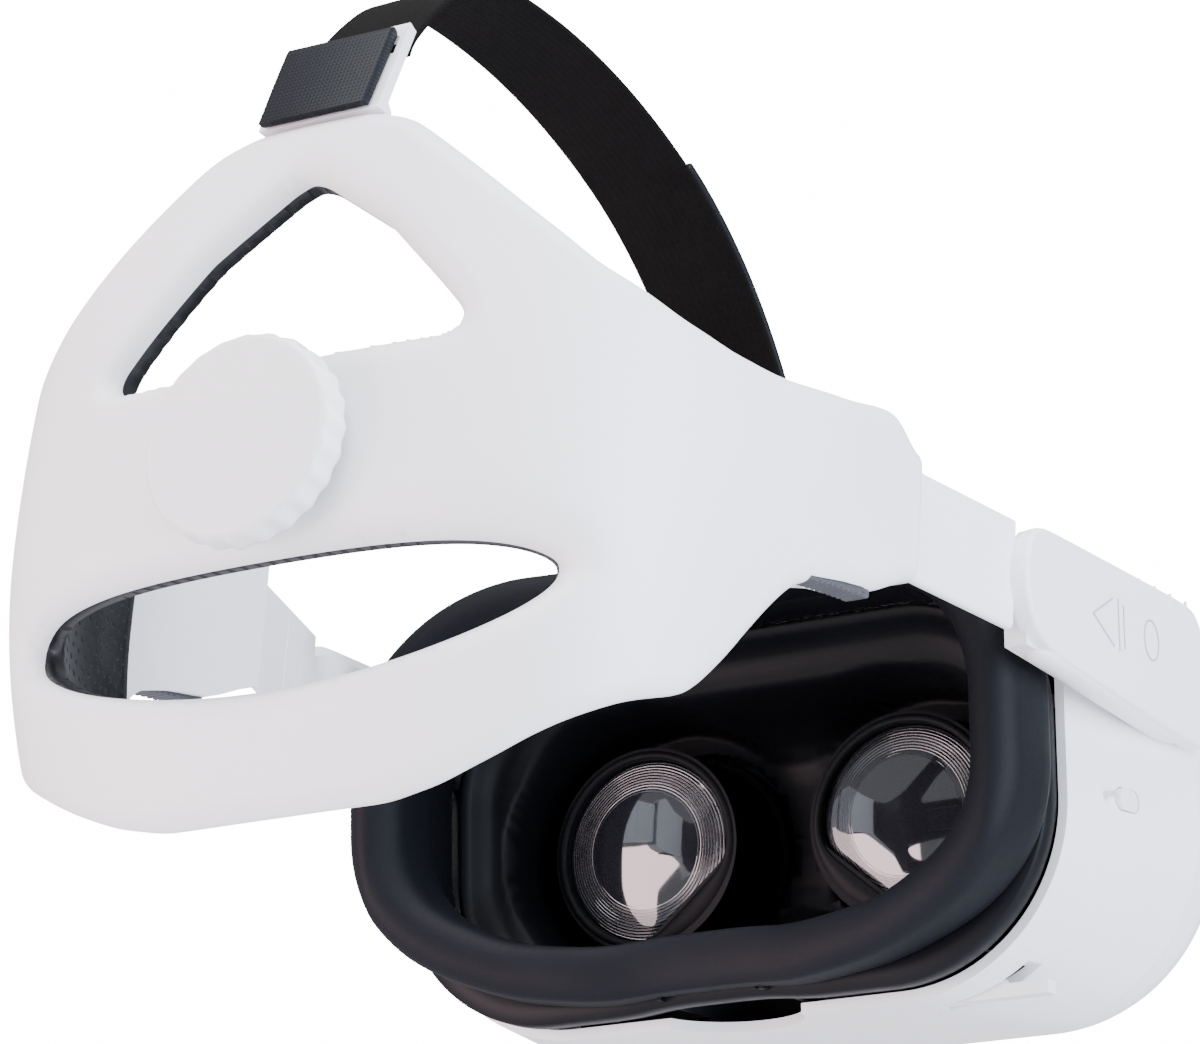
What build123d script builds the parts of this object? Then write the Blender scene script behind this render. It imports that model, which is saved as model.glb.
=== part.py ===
from build123d import *
import math
import os

# Virtual reality headset with a moulded rear cradle strap. Millimetres, +Z up, +X towards the
# wearer's left, +Y towards the back of the head. The origin is the middle of the visor's flat underside.

# ---- driving dimensions -------------------------------------------------------------------------
VISOR_W = 188.0            # visor shell, across its widest station
VISOR_H = 102.0
VISOR_REAR_W = 168.0       # visor shell at its open rear edge
VISOR_REAR_H = 98.0
VISOR_FRONT_Y = -62.0
VISOR_WIDE_Y = -38.0       # where the shell is widest
VISOR_REAR_Y = 10.0
VISOR_LOW_R = 42.0         # lower and upper corners seen from the front
VISOR_TOP_R = 28.0
SHELL_WALL = 2.4
SEAM_Y = -46.0             # where the front cover meets the housing
VENTS = 9

FACEPLATE_Y = -27.0        # back wall that carries the lens tunnels
LENS_X = 34.0              # half of the widest eye distance
LENS_Z = 47.0
LENS_R = 21.5
BARREL_R = 24.3
LENS_FACE_Y = -9.0
LENS_TRAVEL = 5.0          # each lens moves this far inwards

CUSHION_W = 172.0
CUSHION_H = 102.0
CUSHION_Z = 54.5           # middle height of the cushion
CUSHION_FRONT_Y = 20.0
CUSHION_REAR_Y = 42.0

PIVOT_Y = -10.0            # side arm hinge
PIVOT_Z = 70.0
PIVOT_R = 5.0

STRAP_TILT = 8.0           # the strap's own frame is turned this far about X
STRAP_Y = 5.0              # and pivots here
STRAP_Z = 63.2

CRADLE_RX = 86.0           # plan superellipse of the cradle, in the strap's frame
CRADLE_RY = 108.0
CRADLE_Y = 95.0
CRADLE_POWER = 4.0
CRADLE_WAIST_Z = -10.0     # height where the cradle is widest
CRADLE_UP = 300.0          # vertical bulge lengths above and below that height
CRADLE_DOWN = 190.0
CRADLE_WALL = 4.0
LINING_GAP = 0.3
LINING_T = 7.0

CUFF_FRONT_Y = 87.0        # front mouth of the cuffs, strap frame
CUFF_OUT_X = 87.8
CUFF_IN_X = 78.2
BAR_T = 2.6
BAR_Z0 = -0.3
BAR_Z1 = 25.1
BAR_TAIL_X = 82.05         # middle of the bar's straight tail
BAR_FRONT_X = 90.4         # middle of the bar where it meets the arm
BAR_FRONT_Y = 50.4

KNOB_R = 22.5
KNOB_FACE_Y = 211.8
KNOB_Z = -5.4
KNOB_SIDE = 7.2
GEAR_MODULE = 1.0
GEAR_TEETH = 12
IPD_MODULE = 0.8
IPD_TEETH = 10

TOP_STRAP_W = 26.0
TOP_STRAP_T = 1.8


# ---- helpers ------------------------------------------------------------------------------------
def block(x0, x1, y0, y1, z0, z1):
    """Box between two corners."""
    return Pos((x0 + x1) / 2, (y0 + y1) / 2, (z0 + z1) / 2) * Box(x1 - x0, y1 - y0, z1 - z0)


def rod_x(x0, x1, y, z, r):
    """Cylinder along X."""
    return Pos((x0 + x1) / 2, y, z) * Rot(0, 90, 0) * Cylinder(r, x1 - x0)


def rod_y(x, y0, y1, z, r):
    """Cylinder along Y."""
    return Pos(x, (y0 + y1) / 2, z) * Rot(90, 0, 0) * Cylinder(r, y1 - y0)


def rod_z(x, y, z0, z1, r):
    """Cylinder along Z."""
    return Pos(x, y, (z0 + z1) / 2) * Cylinder(r, z1 - z0)


def mirrored(shape):
    """The same piece on the other side of the head."""
    return mirror(shape, about=Plane.YZ)


def upright_rect(width, z0, z1, corner, y):
    """Rounded rectangle facing along Y, at depth y."""
    face = RectangleRounded(width, z1 - z0, corner)
    return Pos(0, y, (z0 + z1) / 2) * (Plane.XZ * face)


def housing_outline(width, z0, z1, low_r, top_r):
    """Rectangle with larger corners below than above, as an (X, Z) face."""
    face = Pos(0, (z0 + z1) / 2) * Rectangle(width, z1 - z0)
    corners = face.vertices().sort_by(Axis.Y)
    face = fillet(corners[:2], low_r)
    return fillet(face.vertices().sort_by(Axis.Y)[-2:], top_r)


def slab_y(face_outline, y0, y1):
    """Extrude an (X, Z) outline from y0 to y1."""
    face = Pos(0, y1, 0) * (Plane.XZ * face_outline)
    return extrude(face, amount=y1 - y0)


def slab_x(face_outline, x0, x1):
    """Extrude a (Y, Z) outline from x0 to x1."""
    face = Pos(x0, 0, 0) * (Plane.YZ * face_outline)
    return extrude(face, amount=x1 - x0)


def slab_z(face_outline, z0, z1):
    """Extrude an (X, Y) outline from z0 to z1."""
    return extrude(Pos(0, 0, z0) * face_outline, amount=z1 - z0)


def outline(points):
    """Straight-sided face through the points."""
    return make_face(Polyline(*points, close=True))


def on_strap(shape):
    """Put a piece drawn in the strap's own frame where the tilted strap holds it."""
    return Pos(0, STRAP_Y, STRAP_Z) * Rot(STRAP_TILT, 0, 0) * Pos(0, -STRAP_Y, 0) * shape


def screw_y(x, y_head, z, head_r, head_t, shank_r, shank_l):
    """Pan-head screw along Y, driven towards -Y, with a cross recess."""
    head = rod_y(x, y_head - head_t, y_head, z, head_r)
    shank = rod_y(x, y_head - head_t - shank_l, y_head - head_t, z, shank_r)
    slot = block(x - head_r * 0.6, x + head_r * 0.6, y_head - head_t * 0.5, y_head + 1, z - 0.25, z + 0.25)
    cross = block(x - 0.25, x + 0.25, y_head - head_t * 0.5, y_head + 1, z - head_r * 0.6, z + head_r * 0.6)
    return head + shank - slot - cross


def spur_gear(module, teeth, y0, y1, bore_r):
    """Stub-toothed pinion about the Y axis, centred on X=0, Z=0, with a gap facing +Z."""
    pitch_r = module * teeth / 2
    root_r = pitch_r - 0.85 * module
    disc = Circle(root_r)
    tooth = outline([
        (root_r - 0.6 * module, -0.95 * module),
        (root_r, -0.95 * module),
        (pitch_r, -0.66 * module),
        (pitch_r + 0.6 * module, -0.34 * module),
        (pitch_r + 0.6 * module, 0.34 * module),
        (pitch_r, 0.66 * module),
        (root_r, 0.95 * module),
        (root_r - 0.6 * module, 0.95 * module),
    ])
    for i in range(teeth):
        disc += Rot(0, 0, 90 + 360 * (i + 0.5) / teeth) * tooth
    gear = slab_y(disc, y0, y1)
    if bore_r:
        gear -= rod_y(0, y0 - 1, y1 + 1, 0, bore_r)
    return gear


def toothed_rack(module, x0, x1, pitch_z, back_z, y0, y1):
    """Rack along X with a tooth centred on X=0, teeth pointing away from back_z."""
    side = 1 if back_z > pitch_z else -1
    pitch = math.pi * module
    root_z = pitch_z + side * 0.8 * module
    rack = block(x0, x1, y0, y1, min(root_z, back_z), max(root_z, back_z))
    first = math.ceil((x0 + 0.9 * module) / pitch)
    last = math.floor((x1 - 0.9 * module) / pitch)
    for i in range(first, last + 1):
        x = i * pitch
        rack += slab_y(outline([
            (x - 0.96 * module, root_z + side * 0.1),
            (x - 0.96 * module, root_z),
            (x - 0.30 * module, pitch_z - side * 0.6 * module),
            (x + 0.30 * module, pitch_z - side * 0.6 * module),
            (x + 0.96 * module, root_z),
            (x + 0.96 * module, root_z + side * 0.1),
        ]), y0, y1)
    return rack


# ---- visor --------------------------------------------------------------------------------------
def visor_form(inset):
    """Solid form of the visor, drawn in by inset on every side but the open rear."""
    i = inset
    low_r = VISOR_LOW_R - i
    top_r = VISOR_TOP_R - i
    wide_face = housing_outline(VISOR_W - 2 * i, i, VISOR_H - i, low_r, top_r)
    rear_face = housing_outline(VISOR_REAR_W - 2 * i, i, VISOR_REAR_H - i, low_r, top_r)
    widest = Pos(0, VISOR_WIDE_Y, 0) * (Plane.XZ * wide_face)
    rear = Pos(0, VISOR_REAR_Y + (1 if i else 0), 0) * (Plane.XZ * rear_face)
    back = loft([widest, rear], ruled=True)
    front = slab_y(wide_face, VISOR_FRONT_Y + i, VISOR_WIDE_Y)
    rim = front.faces().sort_by(Axis.Y)[0].edges()
    return back + fillet(rim, 18 - i)


JACK_Y = -15.5             # headphone socket in the left wall
JACK_Z = 30.0
JACK_R = 1.8
JACK_IN_X = 74.5
JACK_OUT_X = 87.2
MIC_X = -42.0
NOSE_CUT_R = 17.0          # rounded recess in the underside, behind the nose
MIC_Y = -8.0


def camera_spots():
    """The four tracking camera windows on the front corners: X, Z."""
    return [(-66, 80), (66, 80), (-70, 24), (70, 24)]


def front_cover():
    """Front of the visor: windows for the cameras and a row of vents on top."""
    cover = (visor_form(0) - visor_form(SHELL_WALL)) & block(-100, 100, -70, SEAM_Y, -10, 120)
    for x, z in camera_spots():
        cover -= rod_y(x, -64, -52, z, 6.2)
    for i in range(VENTS):
        x = (i - (VENTS - 1) / 2) * 5
        cover -= block(x - 1, x + 1, -57, SEAM_Y - 2, 90, 110)
    return cover


def visor_housing():
    """Middle ring of the visor, with its ports and hinge holes."""
    ring = (visor_form(0) - visor_form(SHELL_WALL)) & block(-100, 100, SEAM_Y, 20, -10, 120)
    for side in (-1, 1):
        ring -= rod_x(side * 90 - 9, side * 90 + 9, PIVOT_Y, PIVOT_Z, PIVOT_R + 0.05)
    ring -= Pos(-89, -11.6, 44) * extrude(Plane.YZ * SlotOverall(9.4, 5.4), 8, both=True)
    ring -= rod_x(-96, -82, -3.5, 44, 0.8)
    ring -= block(-73.6, -46.4, -4.6, 0.6, -2, 8)
    ring -= rod_x(60, 96, JACK_Y, JACK_Z, 3.4)
    ring -= block(60, 96, -9.5, -0.1, 20.0, 24.0)
    ring -= rod_z(0, VISOR_REAR_Y + 3, -1, 3.2, NOSE_CUT_R)
    return ring - rod_z(MIC_X, MIC_Y, -1, 4, 0.6)


def power_button():
    """Oval push button in the right-hand wall, with an inner stop flange."""
    cap = Pos(-89.0, -11.6, 44) * extrude(Plane.YZ * SlotOverall(9.0, 5.0), 4.8)
    flange = block(-84.2, -83.2, -17.2, -6.0, 41.0, 47.0)
    return cap + flange


def volume_rocker():
    """Rocker bar in the underside slot, rocking about Y on a small boss."""
    bar = block(-73.0, -47.0, -4.0, 0.0, 0.6, 3.6)
    boss = rod_y(-60, -4.0, 0.0, 4.0, 1.8)
    return bar + boss


def status_light():
    """Light pipe of the status lamp."""
    return rod_x(-90.2, -84.5, -3.5, 44, 0.75)


def microphone():
    """Microphone grommet over its hole in the underside."""
    return rod_z(MIC_X, MIC_Y, 2.5, 4.5, 2.0)


def tracking_cameras():
    """Four camera barrels with their windows, seated in the front corners."""
    group = []
    for x, z in camera_spots():
        barrel = rod_y(x, -61.2, -50, z, 6.0)
        group.append(barrel - rod_y(x, -62, -60.4, z, 4.6))
    return Compound(children=group)


def usb_socket():
    """Charging receptacle in the left wall."""
    body = block(72, 82.0, -9.3, -0.3, 20.2, 23.8) - block(74, 83, -8.8, -0.8, 20.7, 23.3)
    return body + block(73, 81.0, -7.9, -1.7, 21.75, 22.25)


def audio_jack():
    """Round headphone socket, a blind bore along X."""
    body = rod_x(JACK_IN_X - 1.2, JACK_OUT_X, JACK_Y, JACK_Z, 3.3)
    return body - rod_x(JACK_IN_X, JACK_OUT_X + 1, JACK_Y, JACK_Z, JACK_R)


def faceplate_solid(inset):
    """The bowl between the face frame and the lens wall."""
    i = inset
    rear = upright_rect(152 - 2 * i, 9 + i, 95 - i, 34 - i, 8.0 + (1 if i else 0))
    wall = upright_rect(136 - 2 * i, 13 + i, 90 - i, 28 - i, FACEPLATE_Y + (0 if i else -2))
    return loft([wall, rear], ruled=True)


def lens_tunnel_hole(side, extra):
    """Obround through the lens wall that leaves the barrel room to travel."""
    face = SlotCenterToCenter(LENS_TRAVEL, 2 * (BARREL_R + extra))
    return Pos(side * (LENS_X - LENS_TRAVEL / 2), 0, LENS_Z) * slab_y(face, -40, -8)


def inner_faceplate():
    """Black bowl with a flange that seats on the shell, and two lens openings."""
    bowl = faceplate_solid(0) - faceplate_solid(2.0)
    lip = slab_y(RectangleRounded(163.0, 92, 38) - RectangleRounded(150, 84, 33), 4, 6.5)
    lip = Pos(0, 0, 49.5) * lip
    core = Pos(0, 0, 52) * slab_y(RectangleRounded(151.5, 85.5, 33.5), 0, 9)
    bowl = bowl + (lip - core)
    for side in (-1, 1):
        bowl -= lens_tunnel_hole(side, 0.7)
    bowl -= block(-4.3, 4.3, -40, -20, 60, 72)
    return bowl


def proximity_window():
    """Smoked window of the wear sensor between the lenses."""
    return block(-4.1, 4.1, -28.8, -27.2, 60.2, 71.8)


def interface_frame():
    """Rigid ring that snaps into the visor and carries the cushion."""
    inner = RectangleRounded(152, 82, 33)
    neck = Pos(0, 0, 49.5) * slab_y(RectangleRounded(161, 90, 37) - inner, 8.3, 13.5)
    seat = Pos(0, 0, 50.5) * slab_y(RectangleRounded(167, 97, 40) - inner, 13.5, 19.8)
    ring = neck + seat
    notch = Pos(0, 0, 4) * rod_y(0, 0, 60, 0, 16)
    return ring - notch


def face_cushion():
    """Foam ring that meets the face, hollowed to the forehead and cut for the nose."""
    outer = RectangleRounded(CUSHION_W, CUSHION_H, 44)
    inner = RectangleRounded(CUSHION_W - 28, CUSHION_H - 26, 32)
    ring = Pos(0, 0, CUSHION_Z) * slab_y(outer - inner, CUSHION_FRONT_Y, CUSHION_REAR_Y)
    brow_r = 270.0
    brow = rod_z(0, CUSHION_REAR_Y - 12 + brow_r, -10, 120, brow_r)
    nose = Pos(0, 0, 3) * rod_y(0, 0, 60, 0, 17) + block(-17, 17, 0, 60, -10, 3)
    return ring - brow - nose


def nose_flap():
    """Thin silicone light seal across the nose gap."""
    arch = Circle(15.8) - Circle(14.4)
    flap = Pos(0, 0, 3.2) * slab_y(arch, 9, 27)
    return flap & block(-20, 20, 0, 40, 3.4, 40)


LENS_BACK_Y = -30.0
ROD_TOP_Z = 75.2
ROD_LOW_Z = 18.8
ROD_Y = -34.0
ROD_R = 1.5
PINION_Z = 83.5
RACK_Y0 = -36.0
RACK_Y1 = -33.0


NOSE_CUT_ANGLE = 230      # direction of the flat on a left lens


def lens_outline(r):
    """Round lens with its nose-side lower edge cut away, centred on the optical axis."""
    cut = Rot(0, 0, NOSE_CUT_ANGLE) * Pos(1.78 * r, 0) * Rectangle(2 * r, 3 * r)
    return fillet((Circle(r) - cut).vertices(), r * 0.25)


def left_lens():
    """Moulded lens, domed on both sides and seated in its barrel."""
    blank = slab_y(lens_outline(LENS_R), LENS_FACE_Y - 8, LENS_FACE_Y + 4)
    dome = Pos(0, LENS_FACE_Y + 0.5 - 90, 0) * Sphere(90)
    back = Pos(0, LENS_FACE_Y - 7 + 120, 0) * Sphere(120)
    return Pos(LENS_X, 0, LENS_Z) * (blank & dome & back)


def left_lens_barrel():
    """Black barrel, rod ears and rack arm that carry one lens."""
    tube = slab_y(Circle(BARREL_R) - lens_outline(LENS_R + 0.08), LENS_BACK_Y - 2, LENS_FACE_Y - 0.6)
    barrel = Pos(LENS_X, 0, LENS_Z) * tube
    plate = slab_y(Circle(BARREL_R + 1.5) - Circle(LENS_R - 2), -37.5, -32)
    barrel += Pos(LENS_X, 0, LENS_Z) * plate
    for z in (ROD_TOP_Z, ROD_LOW_Z):
        barrel += block(LENS_X - 7, LENS_X + 7, -37.5, -31, z - 4.6, z + 3.2)
    for z in (ROD_TOP_Z, ROD_LOW_Z):
        barrel -= rod_x(LENS_X - 9, LENS_X + 9, ROD_Y, z, ROD_R + 0.05)
    return barrel


def left_rack_arm():
    """Toothed arm above the pinion."""
    pitch_z = PINION_Z + IPD_MODULE * IPD_TEETH / 2
    arm = toothed_rack(IPD_MODULE, -4.5, LENS_X + 7, pitch_z, pitch_z + 2.6, RACK_Y0, RACK_Y1)
    return arm + block(LENS_X, LENS_X + 7, RACK_Y0, RACK_Y1, ROD_TOP_Z + 3, pitch_z + 1)


def right_rack_arm():
    """Toothed arm below the pinion, drawn on the left-hand side of its own mirror."""
    pitch_z = PINION_Z - IPD_MODULE * IPD_TEETH / 2
    arm = toothed_rack(IPD_MODULE, -LENS_X - 5, 4.5, pitch_z, pitch_z - 1.9, RACK_Y0, RACK_Y1)
    return arm + block(-LENS_X - 6, -LENS_X + 4, RACK_Y0, RACK_Y1, ROD_TOP_Z + 2, pitch_z - 0.9)


def ipd_pinion():
    """Small pinion that keeps the lenses moving together."""
    gear = spur_gear(IPD_MODULE, IPD_TEETH, RACK_Y0 + 0.2, RACK_Y1 - 0.2, 1.25)
    return Pos(0, 0, PINION_Z) * gear


def lens_rails():
    """Two steel rods and the pinion's stub shaft, held by the lens frame."""
    rods = [rod_x(-69, 69, ROD_Y, z, ROD_R) for z in (ROD_TOP_Z, ROD_LOW_Z)]
    rods.append(rod_y(0, -40, -32.4, PINION_Z, 1.2))
    return Compound(children=rods)


def lens_frame():
    """Chassis plate with end cheeks that hold the rods, display and board."""
    plate = block(-70, 70, -42, -40, 12, 90)
    for side in (-1, 1):
        plate -= Pos(side * (LENS_X - 2.5), 0, LENS_Z) * slab_y(SlotCenterToCenter(5, 40), -50, -30)
        plate += block(side * 70 - 2, side * 70 + 2, -42, -30.5, 14, 84)
    for z in (ROD_TOP_Z, ROD_LOW_Z):
        plate -= rod_x(-69, 69, ROD_Y, z, ROD_R)
    return plate - rod_y(0, -43, -30, PINION_Z, 1.2)


def display_panel():
    """Liquid crystal panel behind both lenses."""
    return block(-66, 66, -45.0, -42.2, 14, 84)


def main_board():
    """Circuit board with its two shielded chips."""
    board = block(-52, 30, -50.2, -49.0, 16, 86)
    return board + block(-14, 6, -51.4, -50.2, 42, 62) + block(-46, -30, -51.2, -50.2, 50, 66)


def battery_pack():
    """Lithium cell behind the front wall."""
    return fillet(block(-50, -18, -57.8, -51.6, 14, 48).edges(), 0.8)


def heat_sink():
    """Finned plate on the main chip."""
    sink = block(-16, 22, -53.0, -51.5, 52, 88)
    for i in range(10):
        sink += block(-16 + 4 * i, -15 + 4 * i, -57.5, -53.0, 52, 88)
    return sink


def fan_housing():
    """Square fan body with a round duct and its motor hub."""
    body = block(32, 62, -57.5, -49.5, 36, 66) - rod_y(47, -58, -49, 51, 13.2)
    spokes = block(33, 61, -50.3, -49.5, 50.2, 51.8) + rod_y(47, -50.3, -49.5, 51, 4.0)
    return body + spokes + rod_y(47, -56.2, -50.3, 51, 1.0)


def fan_rotor():
    """Seven-bladed impeller."""
    hub = rod_y(47, -57.0, -51.0, 51, 4.5)
    for i in range(7):
        turned = Rot(0, 360 * i / 7, 0) * (Rot(35, 0, 0) * block(4.0, 12.4, -0.4, 0.4, -2.6, 2.6))
        hub += Pos(47, -54, 51) * turned
    return hub - rod_y(47, -56.3, -50.9, 51, 1.06)


def frame_screws():
    """Four screws that hold the lens frame's corners."""
    spots = [(-60, 88), (60, 88), (-60, 14.2), (60, 14.2)]
    return Compound(children=[screw_y(x, -38.4, z, 1.5, 1.4, 0.9, 0.2) for x, z in spots])


def front_anchor():
    """Bracket on the visor's crown with the slot for the top strap."""
    foot = block(-19, 19, -26, -11.2, 102.0, 104.0)
    loop = block(-17, 17, -15, -11.2, 104.0, 110.5) - block(-13.6, 13.6, -16, -10, 104.6, 108.2)
    return foot + loop


def pivot_hub_left():
    """Hinge pin of one side arm, fixed in the visor wall."""
    pin = rod_x(82.5, 94.0, PIVOT_Y, PIVOT_Z, PIVOT_R)
    return pin + rod_x(80.5, 82.5, PIVOT_Y, PIVOT_Z, 7)


# ---- side arms ----------------------------------------------------------------------------------
def left_side_arm():
    """The headset's own hinged arm, following the taper of the visor's side."""
    plan = outline([(93.4, -31), (87.2, 2), (87.2, 46), (92.4, 46), (95.4, -31)])
    arm = slab_z(plan, 62, 90)
    side = outline([(-24, 62.5), (-31, 68), (-31, 84), (-24, 88), (46, 89.6), (46, 66.8)])
    arm = arm & slab_x(side, 80, 100)
    arm -= rod_x(80, 94.1, PIVOT_Y, PIVOT_Z, PIVOT_R + 0.06)
    return arm - rod_x(84, 91.4, 30, 78, 7.2)


def left_arm_speaker():
    """Speaker can inside the arm, firing down at the ear."""
    return rod_x(87.3, 91.3, 30, 78, 7.0)


def left_clip_cover():
    """Printed clip that grips the arm from outside, with lips above and below."""
    plan = outline([(95.9, -37), (92.9, 46.2), (92.9, 47), (95.6, 47), (97.8, -34), (96.8, -37)])
    face = slab_z(plan, 56, 96)
    side = outline([
        (-37, 60), (-33.5, 58.6), (38, 65.4), (44, 67.5), (47, 72),
        (47, 87.5), (43, 92.6), (36, 93.6), (-31, 92), (-36, 89),
    ])
    cover = face & slab_x(side, 80, 100)
    upper = outline([(-28, 88.6), (40, 90.4), (40, 92.6), (-28, 91.2)])
    lower = outline([(-20, 61.6), (38, 65.6), (38, 64.4), (-20, 59.9)])
    lips = outline([(94.0, -28), (88.6, 40), (93.2, 40), (95.9, -28)])
    skirt = slab_z(lips, 50, 100)
    return cover + (slab_x(upper, 80, 100) & skirt) + (slab_x(lower, 80, 100) & skirt)


def left_adjuster_bar():
    """Flat bar: splayed in front, straight where it runs inside the cuff."""
    half = BAR_T / 2
    mid_y = CUFF_FRONT_Y - 0.5
    plan = outline([
        (BAR_FRONT_X - half, BAR_FRONT_Y), (BAR_TAIL_X - half, mid_y), (BAR_TAIL_X - half, 122),
        (BAR_TAIL_X + half, 122), (BAR_TAIL_X + half, mid_y), (BAR_FRONT_X + half, BAR_FRONT_Y),
    ])
    side = outline([
        (BAR_FRONT_Y, BAR_Z0), (CUFF_FRONT_Y + 1, BAR_Z0), (CUFF_FRONT_Y + 1, 3), (122, 3), (122, 18),
        (CUFF_FRONT_Y + 1, 18), (CUFF_FRONT_Y + 1, BAR_Z1), (BAR_FRONT_Y, BAR_Z1),
    ])
    return on_strap(slab_z(plan, -10, 40) & slab_x(side, 70, 100))


# ---- cradle -------------------------------------------------------------------------------------
def cradle_scale(z):
    """How much the plan is drawn in at a height."""
    length = CRADLE_UP if z > CRADLE_WAIST_Z else CRADLE_DOWN
    return 1 - ((z - CRADLE_WAIST_Z) / length) ** 2


def cradle_plan(inset, z):
    """Superellipse of the cradle at one height, drawn in by inset."""
    rx = CRADLE_RX * cradle_scale(z) - inset
    ry = CRADLE_RY * cradle_scale(z) - inset
    points = []
    for i in range(48):
        a = 2 * math.pi * i / 48
        c = math.cos(a)
        s = math.sin(a)
        x = rx * math.copysign(abs(c) ** (2 / CRADLE_POWER), c)
        y = ry * math.copysign(abs(s) ** (2 / CRADLE_POWER), s)
        points.append((x, CRADLE_Y + y))
    return Pos(0, 0, z) * make_face(Spline(*points, periodic=True))


def cradle_form(inset):
    """Solid inside the cradle's outer surface, drawn in by inset."""
    return loft([cradle_plan(inset, z) for z in (-90, -62, -36, -10, 20, 50, 84)])


REAR_TOP = [(0, 72.5), (13, 72), (24, 68.5), (54, 43), (73, 26.5), (77, 23)]
REAR_BOTTOM = [(0, -78.1), (26, -78.4), (38, -75.6), (50, -71), (62, -64.5), (75, -55)]
SIDE_TOP = [(99, 32), (118, 26.5), (140, 22.5), (158, 21.5), (172, 23.5), (188, 31)]
SIDE_BOTTOM = [(134, -18.5), (142, -27), (151, -41), (160, -53), (172, -64), (190, -76.5)]


def cradle_outline_cut(inset):
    """What the cradle keeps of its surface: its rear outline and its side outline together."""
    i = inset
    top = [(x, z - i) for x, z in REAR_TOP]
    low = [(x, z + i) for x, z in REAR_BOTTOM]
    mirror_top = [(-x, z) for x, z in reversed(top[1:])]
    mirror_low = [(-x, z) for x, z in reversed(low[1:])]
    rear = make_face([
        Spline(*(mirror_top + top)), Line(top[-1], (77, 95)), Line((77, 95), (100, 95)),
        Line((100, 95), (100, -95)), Line((100, -95), (75, -95)), Line((75, -95), low[-1]),
        Spline(*(mirror_low + low)), Line(mirror_low[0], (-75, -95)), Line((-75, -95), (-100, -95)),
        Line((-100, -95), (-100, 95)), Line((-100, 95), (-77, 95)), Line((-77, 95), mirror_top[0]),
    ])
    side_top = [(y, z - i) for y, z in SIDE_TOP]
    side_low = [(y, z + i) for y, z in SIDE_BOTTOM]
    f = CUFF_FRONT_Y + i
    side = make_face([
        Polyline((f, -1.8 + i), (f, 26.6 - i), (92, 26.6 - i), side_top[0]), Spline(*side_top),
        Polyline(side_top[-1], (188, 95), (230, 95), (230, -95), (190, -95), side_low[-1]), Spline(*side_low),
        Polyline(side_low[0], (104, -11.5 + i), (f, -1.8 + i)),
    ])
    return slab_y(rear, 60, 230) & slab_x(side, -100, 100)


def eye_outline(grow):
    """Lower, eye-shaped opening."""
    g = grow
    top = ThreePointArc((-63 - g, -35), (0, -28 + g), (63 + g, -35))
    low = ThreePointArc((63 + g, -35), (0, -55.5 - g), (-63 - g, -35))
    face = make_face([top, low])
    return fillet(face.vertices(), 4)


def triangle_outline(grow):
    """Upper opening, a triangle with soft corners."""
    g = grow
    face = outline([(-45 - g * 1.6, 16 - g), (0, 65 + g * 1.5), (45 + g * 1.6, 16 - g)])
    return fillet(face.vertices(), 6)


def rear_openings(grow):
    """Both openings, cut straight through the rear of the cradle."""
    return slab_y(eye_outline(grow), 150, 230) + slab_y(triangle_outline(grow), 150, 230)


def cuff_blocks(inset):
    """Thickened front ends of the cradle that take the bars."""
    i = inset
    blank = block(CUFF_IN_X + i, CUFF_OUT_X - i, 80, 141, -30, 40)
    blank = fillet(blank.edges().filter_by(Axis.Z), 3.0)
    return blank + mirrored(blank)


def cuff_hollow():
    """Channel for one bar: full height at the mouth, narrower behind."""
    return block(79.8, 86.2, 80, 101.5, -0.7, 25.6) + block(79.8, 84.4, 80, 138.5, 2.2, 18.8)


def cradle_shell():
    """Moulded rear band with its two openings and hollow cuffs."""
    shell = cradle_form(0) - cradle_form(CRADLE_WALL)
    shell += cuff_blocks(0) & block(-100, 100, 80, 141, -30, 40)
    shell = shell & cradle_outline_cut(0)
    shell -= rear_openings(0)
    hollow = cuff_hollow()
    shell -= hollow + mirrored(hollow)
    for x, z in EAR_SPOTS:
        shell += rod_y(x, GEARBOX_Y1 + 0.1, 200.5, z, 3.2)
        shell -= rod_y(x, 190, 201.2, z, 1.05)
    shell -= rod_y(0, 150, 230, KNOB_Z, 6.1)
    for side in (-1, 1):
        shell -= block(side * 82.8 - 3.2, side * 82.8 + 3.2, 104.5, 130.5, -19, -11.5)
    return on_strap(shell)


def cuff_insert():
    """Dark slotted release piece let into the underside of one cuff."""
    body = block(79.9, 85.7, 104.8, 130.2, -15.2, -12.0)
    for i in range(5):
        body -= block(79, 87, 108 + 4.4 * i, 109.2 + 4.4 * i, -16, -14.2)
    return on_strap(body)


GEARBOX_Y0 = 189.8
GEARBOX_Y1 = 197.3
GEARBOX_HALF = 33.0
GEARBOX_UP = 11.5
EAR_SPOTS = [(side * 28, KNOB_Z + up * 15) for side in (-1, 1) for up in (-1, 1)]


def gearbox_form(inset):
    """Flat box behind the knob, in the strap's own frame."""
    i = inset
    low, high = KNOB_Z - GEARBOX_UP + i, KNOB_Z + GEARBOX_UP - i
    return block(-GEARBOX_HALF + i, GEARBOX_HALF - i, GEARBOX_Y0 + i, GEARBOX_Y1 - i, low, high)


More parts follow.
